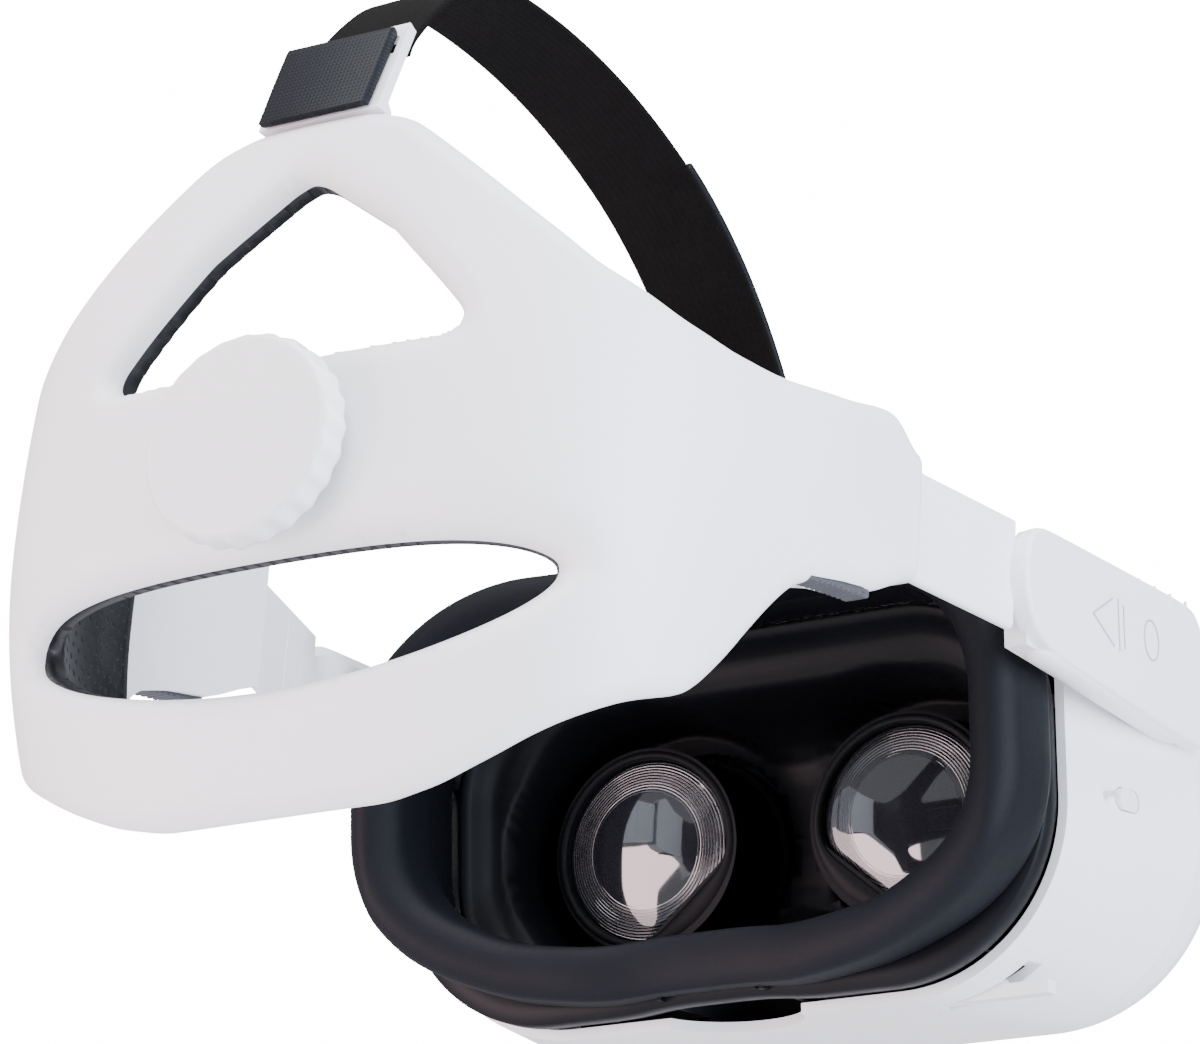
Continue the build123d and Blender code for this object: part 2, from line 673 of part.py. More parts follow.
def gear_housing():
    """Housing that guides the racks and carries the knob's shaft."""
    box = gearbox_form(0) - gearbox_form(1.2)
    box -= rod_y(0, GEARBOX_Y1 - 2, GEARBOX_Y1 + 2, KNOB_Z, 6.1)
    for x, z in EAR_SPOTS:
        low, high = min(z - 3.5, KNOB_Z + 10), max(z + 3.5, KNOB_Z - 10)
        box += block(x - 4.5, x + 4.5, GEARBOX_Y1 - 2, GEARBOX_Y1, low, high)
    box -= gearbox_form(1.2)
    for x, z in EAR_SPOTS:
        box -= rod_y(x, 190, 200, z, 1.1)
    return on_strap(box)


def cradle_lining():
    """Padded liner of the cradle, in one piece, with its own smaller openings."""
    outer = CRADLE_WALL + LINING_GAP
    pad = cradle_form(outer) - cradle_form(outer + LINING_T)
    pad = pad & cradle_outline_cut(1.2)
    pad -= rear_openings(-1.8)
    pad -= block(-100, 100, 60, 104, -95, 95)
    pad -= cuff_blocks(-0.3)
    reach = GEARBOX_HALF + 0.4
    pad -= block(-reach, reach, 150, 230, KNOB_Z - GEARBOX_UP - 0.4, KNOB_Z + GEARBOX_UP + 0.4)
    for x, z in EAR_SPOTS:
        pad -= block(x - 5, x + 5, 193, 230, z - 4.4, z + 4.4)
    pad -= block(-15, 15, 150, 230, 58.5, 90)
    return on_strap(pad)


def lining_patch():
    """Padded panel over the gear housing."""
    low = KNOB_Z - GEARBOX_UP
    pad = block(-GEARBOX_HALF, GEARBOX_HALF, GEARBOX_Y0 - 6.0, GEARBOX_Y0 - 0.2, low, KNOB_Z + GEARBOX_UP)
    return on_strap(fillet(pad.edges().filter_by(Axis.Y), 4))


def strap_loop():
    """White tongue that rises out of the cradle's top edge, slotted for the top strap."""
    side = outline([
        (188.0, 60), (190.2, 60), (190.2, 73.0), (193.4, 73.0),
        (183.9, 97), (181.5, 96), (189.4, 75.6), (188.0, 74),
    ])
    tongue = slab_x(side, -14.6, 14.6)
    return on_strap(tongue - block(-13.3, 13.3, 175, 200, 88.5, 93.5))


def strap_tab():
    """Folded end of the top strap, lying on the outside of the tongue."""
    side = outline([(193.8, 73.3), (196.2, 73.3), (188.4, 93.6), (187.0, 95.0), (185.4, 93.4)])
    return on_strap(slab_x(side, -12.9, 12.9))


def cradle_screws():
    """Four screws that hold the gear housing's ears to the shell."""
    group = []
    for x, z in EAR_SPOTS:
        head = rod_y(x, GEARBOX_Y1 - 3.4, GEARBOX_Y1 - 2, z, 2.0)
        group.append(head + rod_y(x, GEARBOX_Y1 - 2, 201.0, z, 1.0))
    return on_strap(Compound(children=group))


# ---- size adjuster ------------------------------------------------------------------------------
def adjuster_knob():
    """Dished dial with a scalloped grip, open underneath."""
    profile = Circle(KNOB_R)
    lobes = 24
    for i in range(lobes):
        a = 2 * math.pi * i / lobes
        profile -= Pos((KNOB_R + 1.5) * math.cos(a), (KNOB_R + 1.5) * math.sin(a)) * Circle(2.3)
    y0 = KNOB_FACE_Y - KNOB_SIDE
    knob = slab_y(profile, y0, KNOB_FACE_Y)
    knob = Pos(0, 0, KNOB_Z) * knob
    knob -= rod_y(0, y0 - 1, KNOB_FACE_Y - 2, KNOB_Z, KNOB_R - 4.2)
    knob += rod_y(0, y0, KNOB_FACE_Y - 1.9, KNOB_Z, 5.2)
    return on_strap(knob - rod_y(0, y0 - 1, KNOB_FACE_Y - 3.2, KNOB_Z, 3.02))


def adjuster_shaft():
    """Shaft through the shell, keyed in the knob."""
    shaft = rod_y(0, GEARBOX_Y0 + 1.5, KNOB_FACE_Y - 3.3, KNOB_Z, 3.0)
    return on_strap(shaft + rod_y(0, 198.0, 203.4, KNOB_Z, 4.4))


def adjuster_pinion():
    """Steel pinion on the shaft, between the racks."""
    gear = spur_gear(GEAR_MODULE, GEAR_TEETH, 191.6, 195.4, 3.0)
    return on_strap(Pos(0, 0, KNOB_Z) * gear)


def ratchet_wheel():
    """Click wheel under the knob."""
    wheel = Circle(12)
    for i in range(36):
        wheel -= Rot(0, 0, 10 * i) * Pos(12, 0) * RectangleRounded(1.0, 0.9, 0.3)
    disc = Pos(0, 0, KNOB_Z) * slab_y(wheel, 205.0, 206.6)
    return on_strap(disc - rod_y(0, 204, 207, KNOB_Z, 5.2))


def left_rack():
    """Upper rack, pulled by the left-hand bar."""
    pitch_z = GEAR_MODULE * GEAR_TEETH / 2
    rack = toothed_rack(GEAR_MODULE, -16.5, 16.5, pitch_z, pitch_z + 3.6, 191.8, 195.2)
    return on_strap(Pos(0, 0, KNOB_Z) * rack)


def right_rack():
    """Lower rack, pulled by the right-hand bar."""
    pitch_z = -GEAR_MODULE * GEAR_TEETH / 2
    rack = toothed_rack(GEAR_MODULE, -16.5, 16.5, pitch_z, pitch_z - 3.6, 191.8, 195.2)
    return on_strap(Pos(0, 0, KNOB_Z) * rack)


# ---- top strap ----------------------------------------------------------------------------------
FRONT_ROUTE = [(-10.0, 105.0), (8, 154), (50, 190), (122, 206.4)]
REAR_ROUTE = [(148, 197.5), (163.5, 183.0), (166.3, 178.3)]


def strap_arcs():
    """Tangent arcs of the whole top strap, front to back, in the middle plane."""
    start, middle, end = [(0, y, z) for y, z in FRONT_ROUTE[:3]]
    arcs = [ThreePointArc(start, middle, end)]
    for y, z in [FRONT_ROUTE[3]] + REAR_ROUTE:
        arcs.append(TangentArc(arcs[-1] @ 1, (0, y, z), tangent=arcs[-1] % 1))
    return arcs


def band(arcs, width, thick):
    """Flat webbing swept along some of the arcs."""
    path = Wire(arcs)
    start = Plane(origin=path @ 0, x_dir=(1, 0, 0), z_dir=path % 0)
    return sweep(start * Rectangle(width, thick), path=path)


def front_top_strap():
    """Front half of the hook-and-loop strap over the head."""
    return band(strap_arcs()[:2], TOP_STRAP_W, TOP_STRAP_T)


def rear_top_strap():
    """Rear half of the strap, down to the cradle's tongue."""
    return band(strap_arcs()[2:], TOP_STRAP_W, TOP_STRAP_T)


NODES = {
    "front_cover": front_cover,
    "visor_housing": visor_housing,
    "power_button": power_button,
    "volume_rocker": volume_rocker,
    "status_light": status_light,
    "microphone": microphone,
    "tracking_cameras": tracking_cameras,
    "usb_socket": usb_socket,
    "audio_jack": audio_jack,
    "inner_faceplate": inner_faceplate,
    "proximity_window": proximity_window,
    "interface_frame": interface_frame,
    "face_cushion": face_cushion,
    "nose_flap": nose_flap,
    "left_lens": left_lens,
    "left_lens_carriage": lambda: left_lens_barrel() + left_rack_arm(),
    "right_lens": lambda: mirrored(left_lens()),
    "right_lens_carriage": lambda: mirrored(left_lens_barrel()) + right_rack_arm(),
    "ipd_pinion": ipd_pinion,
    "lens_rails": lens_rails,
    "lens_frame": lens_frame,
    "frame_screws": frame_screws,
    "display_panel": display_panel,
    "main_board": main_board,
    "battery_pack": battery_pack,
    "heat_sink": heat_sink,
    "fan_housing": fan_housing,
    "fan_rotor": fan_rotor,
    "front_anchor": front_anchor,
    "left_pivot_hub": pivot_hub_left,
    "right_pivot_hub": lambda: mirrored(pivot_hub_left()),
    "left_side_arm": left_side_arm,
    "right_side_arm": lambda: mirrored(left_side_arm()),
    "left_arm_speaker": left_arm_speaker,
    "right_arm_speaker": lambda: mirrored(left_arm_speaker()),
    "left_clip_cover": left_clip_cover,
    "right_clip_cover": lambda: mirrored(left_clip_cover()),
    "left_adjuster_bar": left_adjuster_bar,
    "right_adjuster_bar": lambda: mirrored(left_adjuster_bar()),
    "cradle_shell": cradle_shell,
    "cradle_lining": cradle_lining,
    "lining_patch": lining_patch,
    "left_cuff_insert": cuff_insert,
    "right_cuff_insert": lambda: mirrored(cuff_insert()),
    "gear_housing": gear_housing,
    "strap_loop": strap_loop,
    "strap_tab": strap_tab,
    "cradle_screws": cradle_screws,
    "adjuster_knob": adjuster_knob,
    "adjuster_shaft": adjuster_shaft,
    "adjuster_pinion": adjuster_pinion,
    "ratchet_wheel": ratchet_wheel,
    "left_rack": left_rack,
    "right_rack": right_rack,
    "front_top_strap": front_top_strap,
    "rear_top_strap": rear_top_strap,
}

os.makedirs("parts", exist_ok=True)
for name, build in NODES.items():
    export_step(build(), "parts/" + name + ".step")
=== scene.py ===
import math

import bmesh
import bpy
import numpy as np
from mathutils import Matrix, Vector, kdtree


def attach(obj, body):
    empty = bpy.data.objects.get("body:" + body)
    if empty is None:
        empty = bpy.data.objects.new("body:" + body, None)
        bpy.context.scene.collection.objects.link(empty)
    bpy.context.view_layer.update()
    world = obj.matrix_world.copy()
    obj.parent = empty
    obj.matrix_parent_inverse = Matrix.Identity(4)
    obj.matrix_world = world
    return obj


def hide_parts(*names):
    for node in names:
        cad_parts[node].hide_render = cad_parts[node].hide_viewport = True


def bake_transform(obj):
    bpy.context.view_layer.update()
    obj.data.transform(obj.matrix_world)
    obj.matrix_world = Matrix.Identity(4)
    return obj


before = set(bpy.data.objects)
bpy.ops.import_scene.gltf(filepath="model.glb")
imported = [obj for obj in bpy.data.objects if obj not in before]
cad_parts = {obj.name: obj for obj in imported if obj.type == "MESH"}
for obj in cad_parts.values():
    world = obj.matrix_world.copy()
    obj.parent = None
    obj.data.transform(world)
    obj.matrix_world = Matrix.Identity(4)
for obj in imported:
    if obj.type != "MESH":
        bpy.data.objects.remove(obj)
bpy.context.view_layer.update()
scene = bpy.context.scene


# --- Visor shell ---
# The goggle's two white mouldings, front cover and rear ring, with the small parts let into them:
# power key, volume rocker, status light, microphone, camera barrels and the two sockets.
class Value:
    """A shader value that can be used in arithmetic."""

    def __init__(self, tree, socket):
        self.tree = tree
        self.socket = socket

    def math(self, operation, *terms):
        """A math node over the given terms, or over this value alone."""
        node = self.tree.nodes.new("ShaderNodeMath")
        node.operation = operation
        for slot, term in zip(node.inputs, terms or (self,)):
            plug(self.tree, slot, term)
        return Value(self.tree, node.outputs[0])

    def __add__(self, other):
        return self.math("ADD", self, other)

    __radd__ = __add__

    def __sub__(self, other):
        return self.math("SUBTRACT", self, other)

    def __rsub__(self, other):
        return self.math("SUBTRACT", other, self)

    def __mul__(self, other):
        return self.math("MULTIPLY", self, other)

    __rmul__ = __mul__


def plug(tree, slot, term):
    """Link a value to a socket, or set the socket's own number or colour."""
    if isinstance(term, Value):
        tree.links.new(term.socket, slot)
    else:
        slot.default_value = term


class Finish:
    """One procedural material, built up from its nodes."""

    def __init__(self, name):
        self.material = bpy.data.materials.new(name)
        self.material.use_nodes = True
        self.tree = self.material.node_tree
        self.shader = self.tree.nodes["Principled BSDF"]

    def node(self, kind, settings=(), output=0, **inputs):
        """Add a node: its settings first, then the values or links of its sockets."""
        node = self.tree.nodes.new(kind)
        for key, value in dict(settings).items():
            setattr(node, key, value)
        for key, value in inputs.items():
            plug(self.tree, node.inputs[key.replace("_", " ")], value)
        return Value(self.tree, node.outputs[output])

    def place(self, kind="Object"):
        return self.node("ShaderNodeTexCoord", output=kind)

    def axes(self, kind="Object"):
        """The surface's coordinates as separate values."""
        node = self.tree.nodes.new("ShaderNodeSeparateXYZ")
        plug(self.tree, node.inputs[0], self.place(kind))
        return [Value(self.tree, output) for output in node.outputs]

    def noise(self, scale, detail=3.0, at=None):
        return self.node("ShaderNodeTexNoise", Vector=at or self.place(), Scale=scale, Detail=detail)

    def stretched(self, scale):
        """The surface's own coordinates, scaled differently along each axis."""
        return self.node("ShaderNodeMapping", Vector=self.place(), Scale=scale)

    def ramp(self, value, low, high):
        """Rescale a value so that low becomes 0 and high becomes 1."""
        return self.node("ShaderNodeMapRange", {"clamp": True}, Value=value, From_Min=low, From_Max=high)

    def mix(self, share, first, second):
        """Blend two colours."""
        node = self.tree.nodes.new("ShaderNodeMix")
        node.data_type = "RGBA"
        colours = [socket for socket in node.inputs if socket.type == "RGBA"]
        plug(self.tree, node.inputs[0], share)
        plug(self.tree, colours[0], first)
        plug(self.tree, colours[1], second)
        return Value(self.tree, next(s for s in node.outputs if s.type == "RGBA"))

    def bump(self, height, depth, strength=1.0, under=None):
        node = self.tree.nodes.new("ShaderNodeBump")
        node.inputs["Strength"].default_value = strength
        node.inputs["Distance"].default_value = depth
        plug(self.tree, node.inputs["Height"], height)
        if under:
            plug(self.tree, node.inputs["Normal"], under)
        return Value(self.tree, node.outputs[0])

    def surface(self, base, rough, normal, **constants):
        """Feed the shader, and hand back the finished material."""
        inputs = {"Base Color": base, "Roughness": rough, "Normal": normal, **constants}
        for key, value in inputs.items():
            plug(self.tree, self.shader.inputs[key.replace("_", " ")], value)
        return self.material


def moulded(name, colour, shade, roughness, grain=1400.0, depth=0.00002, **constants):
    """Moulded plastic: a fine spark-eroded grain, faint flow marks and uneven gloss."""
    finish = Finish(name)
    flow = finish.noise(18.0, 2.0)
    base = finish.mix(finish.ramp(flow, 0.35, 0.65), (*colour, 1), (*shade, 1))
    rough = flow * 0.10 + (roughness - 0.05)
    normal = finish.bump(finish.noise(grain, 4.0), depth, 0.5)
    return finish.surface(base, rough, normal, **constants)


def paint(material, *names):
    """Give CAD parts their material."""
    for name in names:
        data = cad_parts[name].data
        data.materials.clear()
        data.materials.append(material)


SHELL_WHITE = moulded("shell_white", (0.86, 0.855, 0.88), (0.83, 0.825, 0.85), 0.42)
KEY_WHITE = moulded("key_white", (0.85, 0.85, 0.87), (0.80, 0.80, 0.83), 0.36)
BLACK_PLASTIC = moulded(
    "black_plastic", (0.0028, 0.0030, 0.0044), (0.0042, 0.0046, 0.0064), 0.46, 1800.0,
    Specular_IOR_Level=0.12,
)
SMOKED = moulded("smoked_window", (0.006, 0.006, 0.008), (0.010, 0.010, 0.013), 0.08, 300.0, 0.000005)
LIGHT_PIPE = moulded("light_pipe", (0.75, 0.75, 0.72), (0.68, 0.68, 0.66), 0.25, 600.0)
SILICONE = moulded(
    "silicone", (0.003, 0.0033, 0.0045), (0.005, 0.0055, 0.007), 0.56, 900.0, Specular_IOR_Level=0.15
)
paint(SHELL_WHITE, "front_cover", "visor_housing")
paint(KEY_WHITE, "power_button", "volume_rocker")
paint(LIGHT_PIPE, "status_light")
paint(SILICONE, "microphone")
paint(SMOKED, "tracking_cameras", "proximity_window")
paint(BLACK_PLASTIC, "usb_socket", "audio_jack")


# --- Inside the visor ---
# Chassis with its guide rods, display panel, circuit board, battery, finned heat sink and fan,
# held by small screws, with the bushes of the side arms' pivots. They show through gaps only.
def metal(name, colour, roughness, along):
    """Ground or drawn metal, with fine lines along one axis."""
    finish = Finish(name)
    lines = finish.noise(1.0, 5.0, finish.stretched(along))
    dark = tuple(0.8 * c for c in colour)
    base = finish.mix(lines, (*colour, 1), (*dark, 1))
    rough = lines * 0.16 + (roughness - 0.08)
    return finish.surface(base, rough, finish.bump(lines, 0.00001), Metallic=1.0)


def circuit_green():
    """Solder mask over a grid of buried tracks and pads."""
    finish = Finish("circuit_green")
    cells = finish.node("ShaderNodeTexVoronoi", {"distance": "CHEBYCHEV"}, Vector=finish.place(), Scale=420.0)
    pads = finish.ramp(cells, 0.12, 0.16)
    base = finish.mix(pads, (0.62, 0.47, 0.16, 1), (0.006, 0.075, 0.035, 1))
    tracks = finish.noise(160.0, 1.0)
    return finish.surface(base, tracks * 0.2 + 0.25, finish.bump(tracks, 0.00004))


STEEL = metal("ground_steel", (0.58, 0.58, 0.60), 0.30, (30, 2500, 2500))
SCREW_STEEL = metal("blackened_steel", (0.22, 0.22, 0.24), 0.38, (1500, 60, 1500))
ALUMINIUM = metal("extruded_aluminium", (0.70, 0.70, 0.72), 0.35, (2500, 2500, 40))
DARK_GREY = moulded("dark_grey_moulding", (0.045, 0.048, 0.058), (0.062, 0.066, 0.078), 0.50, 1200.0)
CELL_WRAP = moulded("cell_wrap", (0.10, 0.10, 0.12), (0.16, 0.16, 0.18), 0.30, 220.0, 0.00006)
SPEAKER_CAN = moulded("speaker_can", (0.040, 0.040, 0.046), (0.060, 0.060, 0.066), 0.55, 900.0)
paint(STEEL, "lens_rails", "adjuster_shaft")
paint(SCREW_STEEL, "frame_screws", "cradle_screws")
paint(ALUMINIUM, "heat_sink")
paint(circuit_green(), "main_board")
paint(CELL_WRAP, "battery_pack")
paint(SMOKED, "display_panel")
paint(DARK_GREY, "lens_frame", "fan_housing", "fan_rotor", "left_pivot_hub", "right_pivot_hub", "ipd_pinion")


# --- Lens bowl ---
# Black moulding that closes the visor round the lenses: a stepped bowl with a soft recess and an
# opening for each lens barrel. It is drawn as loops from the back of the bowl over its rim.
MM = 0.001
SIDES = ((1, "left"), (-1, "right"))


def shade(piece, sharp=None):
    """Shade a piece smooth, but for edges sharper than an angle."""
    piece.data.shade_smooth()
    if sharp:
        piece.data.set_sharp_from_angle(angle=math.radians(sharp))


def new_object(name, verts, faces=()):
    """An object of a mesh given in millimetres, whose place is in its vertices."""
    mesh = bpy.data.meshes.new(name)
    mesh.from_pydata([tuple(v) for v in np.asarray(verts) * MM], [], [tuple(map(int, f)) for f in faces])
    piece = bpy.data.objects.new(name, mesh)
    scene.collection.objects.link(piece)
    return piece


def add_piece(name, verts, faces, material, sharp=None):
    """Add one visible piece, welded and with its normals outwards."""
    piece = new_object(name, verts, faces)
    mesh = piece.data
    mesh.validate()
    work = bmesh.new()
    work.from_mesh(mesh)
    bmesh.ops.remove_doubles(work, verts=work.verts, dist=0.000002)
    bmesh.ops.recalc_face_normals(work, faces=work.faces)
    work.to_mesh(mesh)
    work.free()
    shade(piece, sharp)
    mesh.materials.append(material)
    return piece


def skin(rings, wrap=False):
    """Faces over rings of points (ring, point, xyz), with a middle point closing each open end."""
    rings = np.asarray(rings, float)
    count, around = rings.shape[:2]
    verts = rings.reshape(-1, 3)
    faces = []
    for i in range(count if wrap else count - 1):
        a = i * around
        b = (i + 1) % count * around
        for j in range(around):
            k = (j + 1) % around
            faces.append((a + j, a + k, b + k, b + j))
    if not wrap:
        verts = np.vstack([verts, rings[0].mean(0), rings[-1].mean(0)])
        first = count * around
        last = (count - 1) * around
        for j in range(around):
            k = (j + 1) % around
            faces.append((first, k, j))
            faces.append((first + 1, last + j, last + k))
    return verts, faces


def join(*shapes):
    """Put several (verts, faces) shapes into one."""
    verts = []
    faces = []
    for shape_verts, shape_faces in shapes:
        start = sum(len(v) for v in verts)
        verts.append(np.asarray(shape_verts, float))
        faces += [tuple(start + i for i in face) for face in shape_faces]
    return np.vstack(verts), faces


def rounded_loop(half_w, half_h, radius, mid_z, per_side=16, per_corner=24):
    """Points round a rounded rectangle, in X and Z."""
    radius = max(min(radius, half_w, half_h), 0.4)
    points = []
    for i, (sx, sz) in enumerate([(1, -1), (1, 1), (-1, 1), (-1, -1)]):
        angles = np.radians(np.linspace(90 * i - 90, 90 * i, per_corner))
        x = sx * (half_w - radius) + radius * np.cos(angles)
        z = mid_z + sz * (half_h - radius) + radius * np.sin(angles)
        points.append(np.stack([x, z], 1))
    loop = []
    for i in range(4):
        start = points[i][-1]
        end = points[(i + 1) % 4][0]
        steps = np.linspace(0, 1, per_side + 2)[1:-1, None]
        loop += [points[i], start + (end - start) * steps]
    return np.vstack(loop)


def bake(piece):
    """Give a piece the mesh that its modifiers make of it."""
    graph = bpy.context.evaluated_depsgraph_get()
    mesh = bpy.data.meshes.new_from_object(piece.evaluated_get(graph))
    piece.modifiers.clear()
    piece.data = mesh
    return piece


def cut(piece, cutter):
    """Take one solid out of another."""
    modifier = piece.modifiers.new("cut", "BOOLEAN")
    modifier.operation = "DIFFERENCE"
    modifier.solver = "EXACT"
    modifier.object = cutter
    bake(piece)
    bpy.data.objects.remove(cutter)


def circle(steps):
    """Angles all the way round."""
    return np.linspace(0, 2 * math.pi, steps + 1)[:-1]


def oval(turn, wide, high, x=0.0, z=0.0):
    """Points of an ellipse in X and Z."""
    return np.stack([x + wide * np.cos(turn), z + high * np.sin(turn)], 1)


def at_depth(loop, y):
    """A flat loop of (X, Z) points, set at a depth or at one depth for each point."""
    return np.stack([loop[:, 0], np.broadcast_to(y, len(loop)), loop[:, 1]], 1)


def ease(low, high, value):
    """Smooth step from 0 at low to 1 at high."""
    share = np.clip((value - low) / (high - low), 0, 1)
    return share * share * (3 - 2 * share)


def prism(outline, low, high, axis=1):
    """Straight solid over an outline, along X (0), Y (1) or Z (2)."""
    return skin([np.insert(np.asarray(outline, float), axis, level, axis=1) for level in (low, high)])


BOWL_STEPS = np.array([
    (0, 7.6), (2, 6.8), (4, 3.5), (6, 1.2), (9, 0.2), (12, -1.5), (14, -6), (16, -12), (18, -18),
    (21, -23), (25, -26), (30, -27), (42, -27),
])
LENS_X = 34.0
LENS_Z = 47.0
LENS_TRAVEL = 5.0
BARREL_ROOM = 25.2
BOWL_WALL = 2.0


def bowl_depth(points, inset):
    """How far back the bowl lies, with a soft recess round each lens."""
    depth = np.full(len(points), np.interp(inset, BOWL_STEPS[:, 0], BOWL_STEPS[:, 1]))
    away = np.hypot((np.abs(points[:, 0]) - 32) / 33, (points[:, 1] - LENS_Z - 0.5) / 31)
    recess = ease(1.06, 0.98, away)
    return depth * (1 - recess) + np.minimum(depth, -20 - 7 * recess) * recess


def lens_bowl():
    fronts = []
    for inset in np.arange(0, 41.5, 0.9):
        loop = rounded_loop(75 - inset, 42 - inset, max(33 - inset, 0.4), 49.5, 26, 30)
        fronts.append(at_depth(loop, bowl_depth(loop, inset)))
    backs = [ring + [0, -BOWL_WALL, 0] for ring in fronts]
    return skin(backs[::-1] + fronts)


bowl = add_piece("lens_bowl", *lens_bowl(), BLACK_PLASTIC)
for side in (-1, 1):
    turn = circle(96)
    shift = np.where(np.cos(turn) * side > 0, 0.0, -LENS_TRAVEL * side)
    hole = oval(turn, BARREL_ROOM, BARREL_ROOM, side * LENS_X + shift, LENS_Z)
    cut(bowl, add_piece("hole", *prism(hole, -45, 12), BLACK_PLASTIC))
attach(bowl, "visor")
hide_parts("inner_faceplate")


# --- Lenses ---
# Dark glossy lenses with a flattened nose side and fine moulded rings, each in a black bezel
# on the carriage that slides along the guide rods.
def lens_rim(side, radius, steps=144):
    """Polar outline of a lens: round, with its lower nose side cut off."""
    turn = circle(steps)
    facing = np.cos(turn - math.radians(230))
    reach = np.where(facing > 0.5, 0.80 * radius / np.maximum(facing, 0.5), radius)
    reach = np.minimum(reach, radius)
    kernel = np.hanning(17)
    reach = np.convolve(np.tile(reach, 3), kernel / kernel.sum(), "same")[steps:2 * steps]
    return np.stack([side * reach * np.cos(turn), reach * np.sin(turn)], 1)


def lens_shape(side):
    rim = lens_rim(side, 21.3)
    rings = [(0.35, -16.0), (0.9, -15.6), (0.99, -13.6), (1.0, -12.0), (0.995, -11.2)]
    for share in np.linspace(0.97, 0.04, 30):
        rings.append((share, -8.9 - 2.0 * share ** 2 - 0.5 * max(0.0, share - 0.86) ** 2 * 50))
    return skin([at_depth(share * rim + [side * LENS_X, LENS_Z], y) for share, y in rings])


def bezel_shape(side):
    rim = lens_rim(side, 21.5)
    round_rim = oval(circle(len(rim)), 1, 1) * [side, 1] * 24.2
    rings = []
    for share, y in [
        (1.0, -26), (1.0, -15), (0.98, -12.2), (0.90, -10.2), (0.72, -9.4), (0.45, -9.0),
        (0.2, -9.1), (0.05, -9.6), (0.0, -10.8), (0.0, -14.0), (0.3, -16.2), (0.8, -26),
    ]:
        rings.append(at_depth(rim + (round_rim - rim) * share + [side * LENS_X, LENS_Z], y))
    return skin(rings, wrap=True)


def lens_finish():
    """Dark, glossy moulded lens with concentric ridges that catch the light."""
    finish = Finish("lens_gloss")
    x, _, z = finish.axes()
    across = x.math("ABSOLUTE") - LENS_X * MM
    up = z - LENS_Z * MM
    radius = (across * across + up * up).math("SQRT")
    ridges = (radius * 9000.0).math("SINE")
    outer = finish.ramp(radius, 0.0135, 0.0165)
    smudge = finish.noise(90.0, 3.0)
    base = finish.mix(smudge, (0.010, 0.011, 0.014, 1), (0.018, 0.019, 0.024, 1))
    rough = smudge * 0.05 + 0.02
    normal = finish.bump(ridges * outer, 0.00010, 0.8)
    return finish.surface(base, rough, normal, Coat_Weight=1.0, IOR=1.62)


LENS_GLOSS = lens_finish()
paint(BLACK_PLASTIC, "left_lens_carriage", "right_lens_carriage")
for side, name in SIDES:
    lens = add_piece(name + "_lens_glass", *lens_shape(side), LENS_GLOSS)
    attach(lens, name + "_eyepiece")
    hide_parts(name + "_lens")
    bezel = add_piece(name + "_lens_bezel", *bezel_shape(side), SILICONE)
    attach(bezel, name + "_eyepiece")


# --- Face frame and nose shield ---
# Black ring that snaps into the visor and carries the cushion, with a groove between the two,
# and the soft arched shield that keeps light out below the nose.
NOSE_RISE = 1.5
NOSE_HALF = 19.0


def nose_lift(points, mid_z, share):
    """Raise the lower middle of a loop into the arch over the nose."""
    low = np.clip((mid_z - 18 - points[:, 1]) / 14, 0, 1)
    return NOSE_RISE * share * low * np.exp(-(points[:, 0] / NOSE_HALF) ** 4)


def ring_of(profile, half_w, half_h, corner, mid_z, lift, back=None):
    """Closed ring swept round a rounded rectangle; profile is (inset, depth) points."""
    rings = []
    for inset, y in profile:
        loop = rounded_loop(half_w - inset, half_h - inset, corner - inset, mid_z, 26, 34)
        loop[:, 1] += nose_lift(loop, mid_z, lift)
        depth = np.full(len(loop), float(y))
        rings.append(at_depth(loop, back(loop, depth) if back else depth))
    return skin(rings, wrap=True)


FRAME_PROFILE = [
    (0.5, 14.0), (0.0, 14.6), (0.0, 19.0), (0.6, 19.7), (4.5, 19.8), (6.4, 19.6), (7.4, 18.0), (7.4, 8.6),
    (4.5, 8.4), (3.2, 9.0), (3.0, 12.8), (2.4, 13.6),
]
frame_ring = ring_of(FRAME_PROFILE, 83.5, 48.5, 40, 50.5, 0.9)
face_frame = add_piece("face_frame", *frame_ring, BLACK_PLASTIC, sharp=50)
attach(face_frame, "visor")
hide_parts("interface_frame")


def nose_shield_shape():
    """Arched shield: a half funnel that narrows into the bowl."""
    turn = np.linspace(-0.05, math.pi + 0.05, 40)
    rings = []
    for y, r in [
        (22, 13.6), (16, 14.6), (8, 15.0), (0, 14.6), (-7, 13.4), (-13, 11.2), (-17, 8.4), (-20, 4.6),
        (-21, 1.5),
    ]:
        arc = at_depth(oval(turn, r, r, z=5.0), y)
        inner = arc * [1 - 1.2 / r, 1, 1 - 0.6 / r]
        rings.append(np.vstack([arc, inner[::-1]]))
    return skin(rings)


nose_shield = add_piece("nose_shield", *nose_shield_shape(), SILICONE, sharp=60)
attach(nose_shield, "visor")
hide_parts("nose_flap")


# --- Face cushion ---
# Moulded foam ring with a thin black skin, hollowed to the forehead and arched over the nose,
# pressed on the face frame.
def foam_skin():
    """Closed-cell foam with a soft skin: fine pores, faint puckers and a low sheen."""
    finish = Finish("foam_skin")
    pores = finish.noise(2600.0, 2.0)
    puckers = finish.noise(120.0, 3.0)
    patches = finish.noise(14.0, 2.0)
    worn = finish.ramp(patches, 0.35, 0.7)
    base = finish.mix(worn, (0.0016, 0.0021, 0.0042, 1), (0.0028, 0.0036, 0.0068, 1))
    rough = pores * 0.12 + 0.55
    normal = finish.bump(pores, 0.00004, 0.5, finish.bump(puckers, 0.0002, 0.35))
    return finish.surface(base, rough, normal, Specular_IOR_Level=0.16)


PAD_FRONT = 20.3
PAD_REAR = 42.0


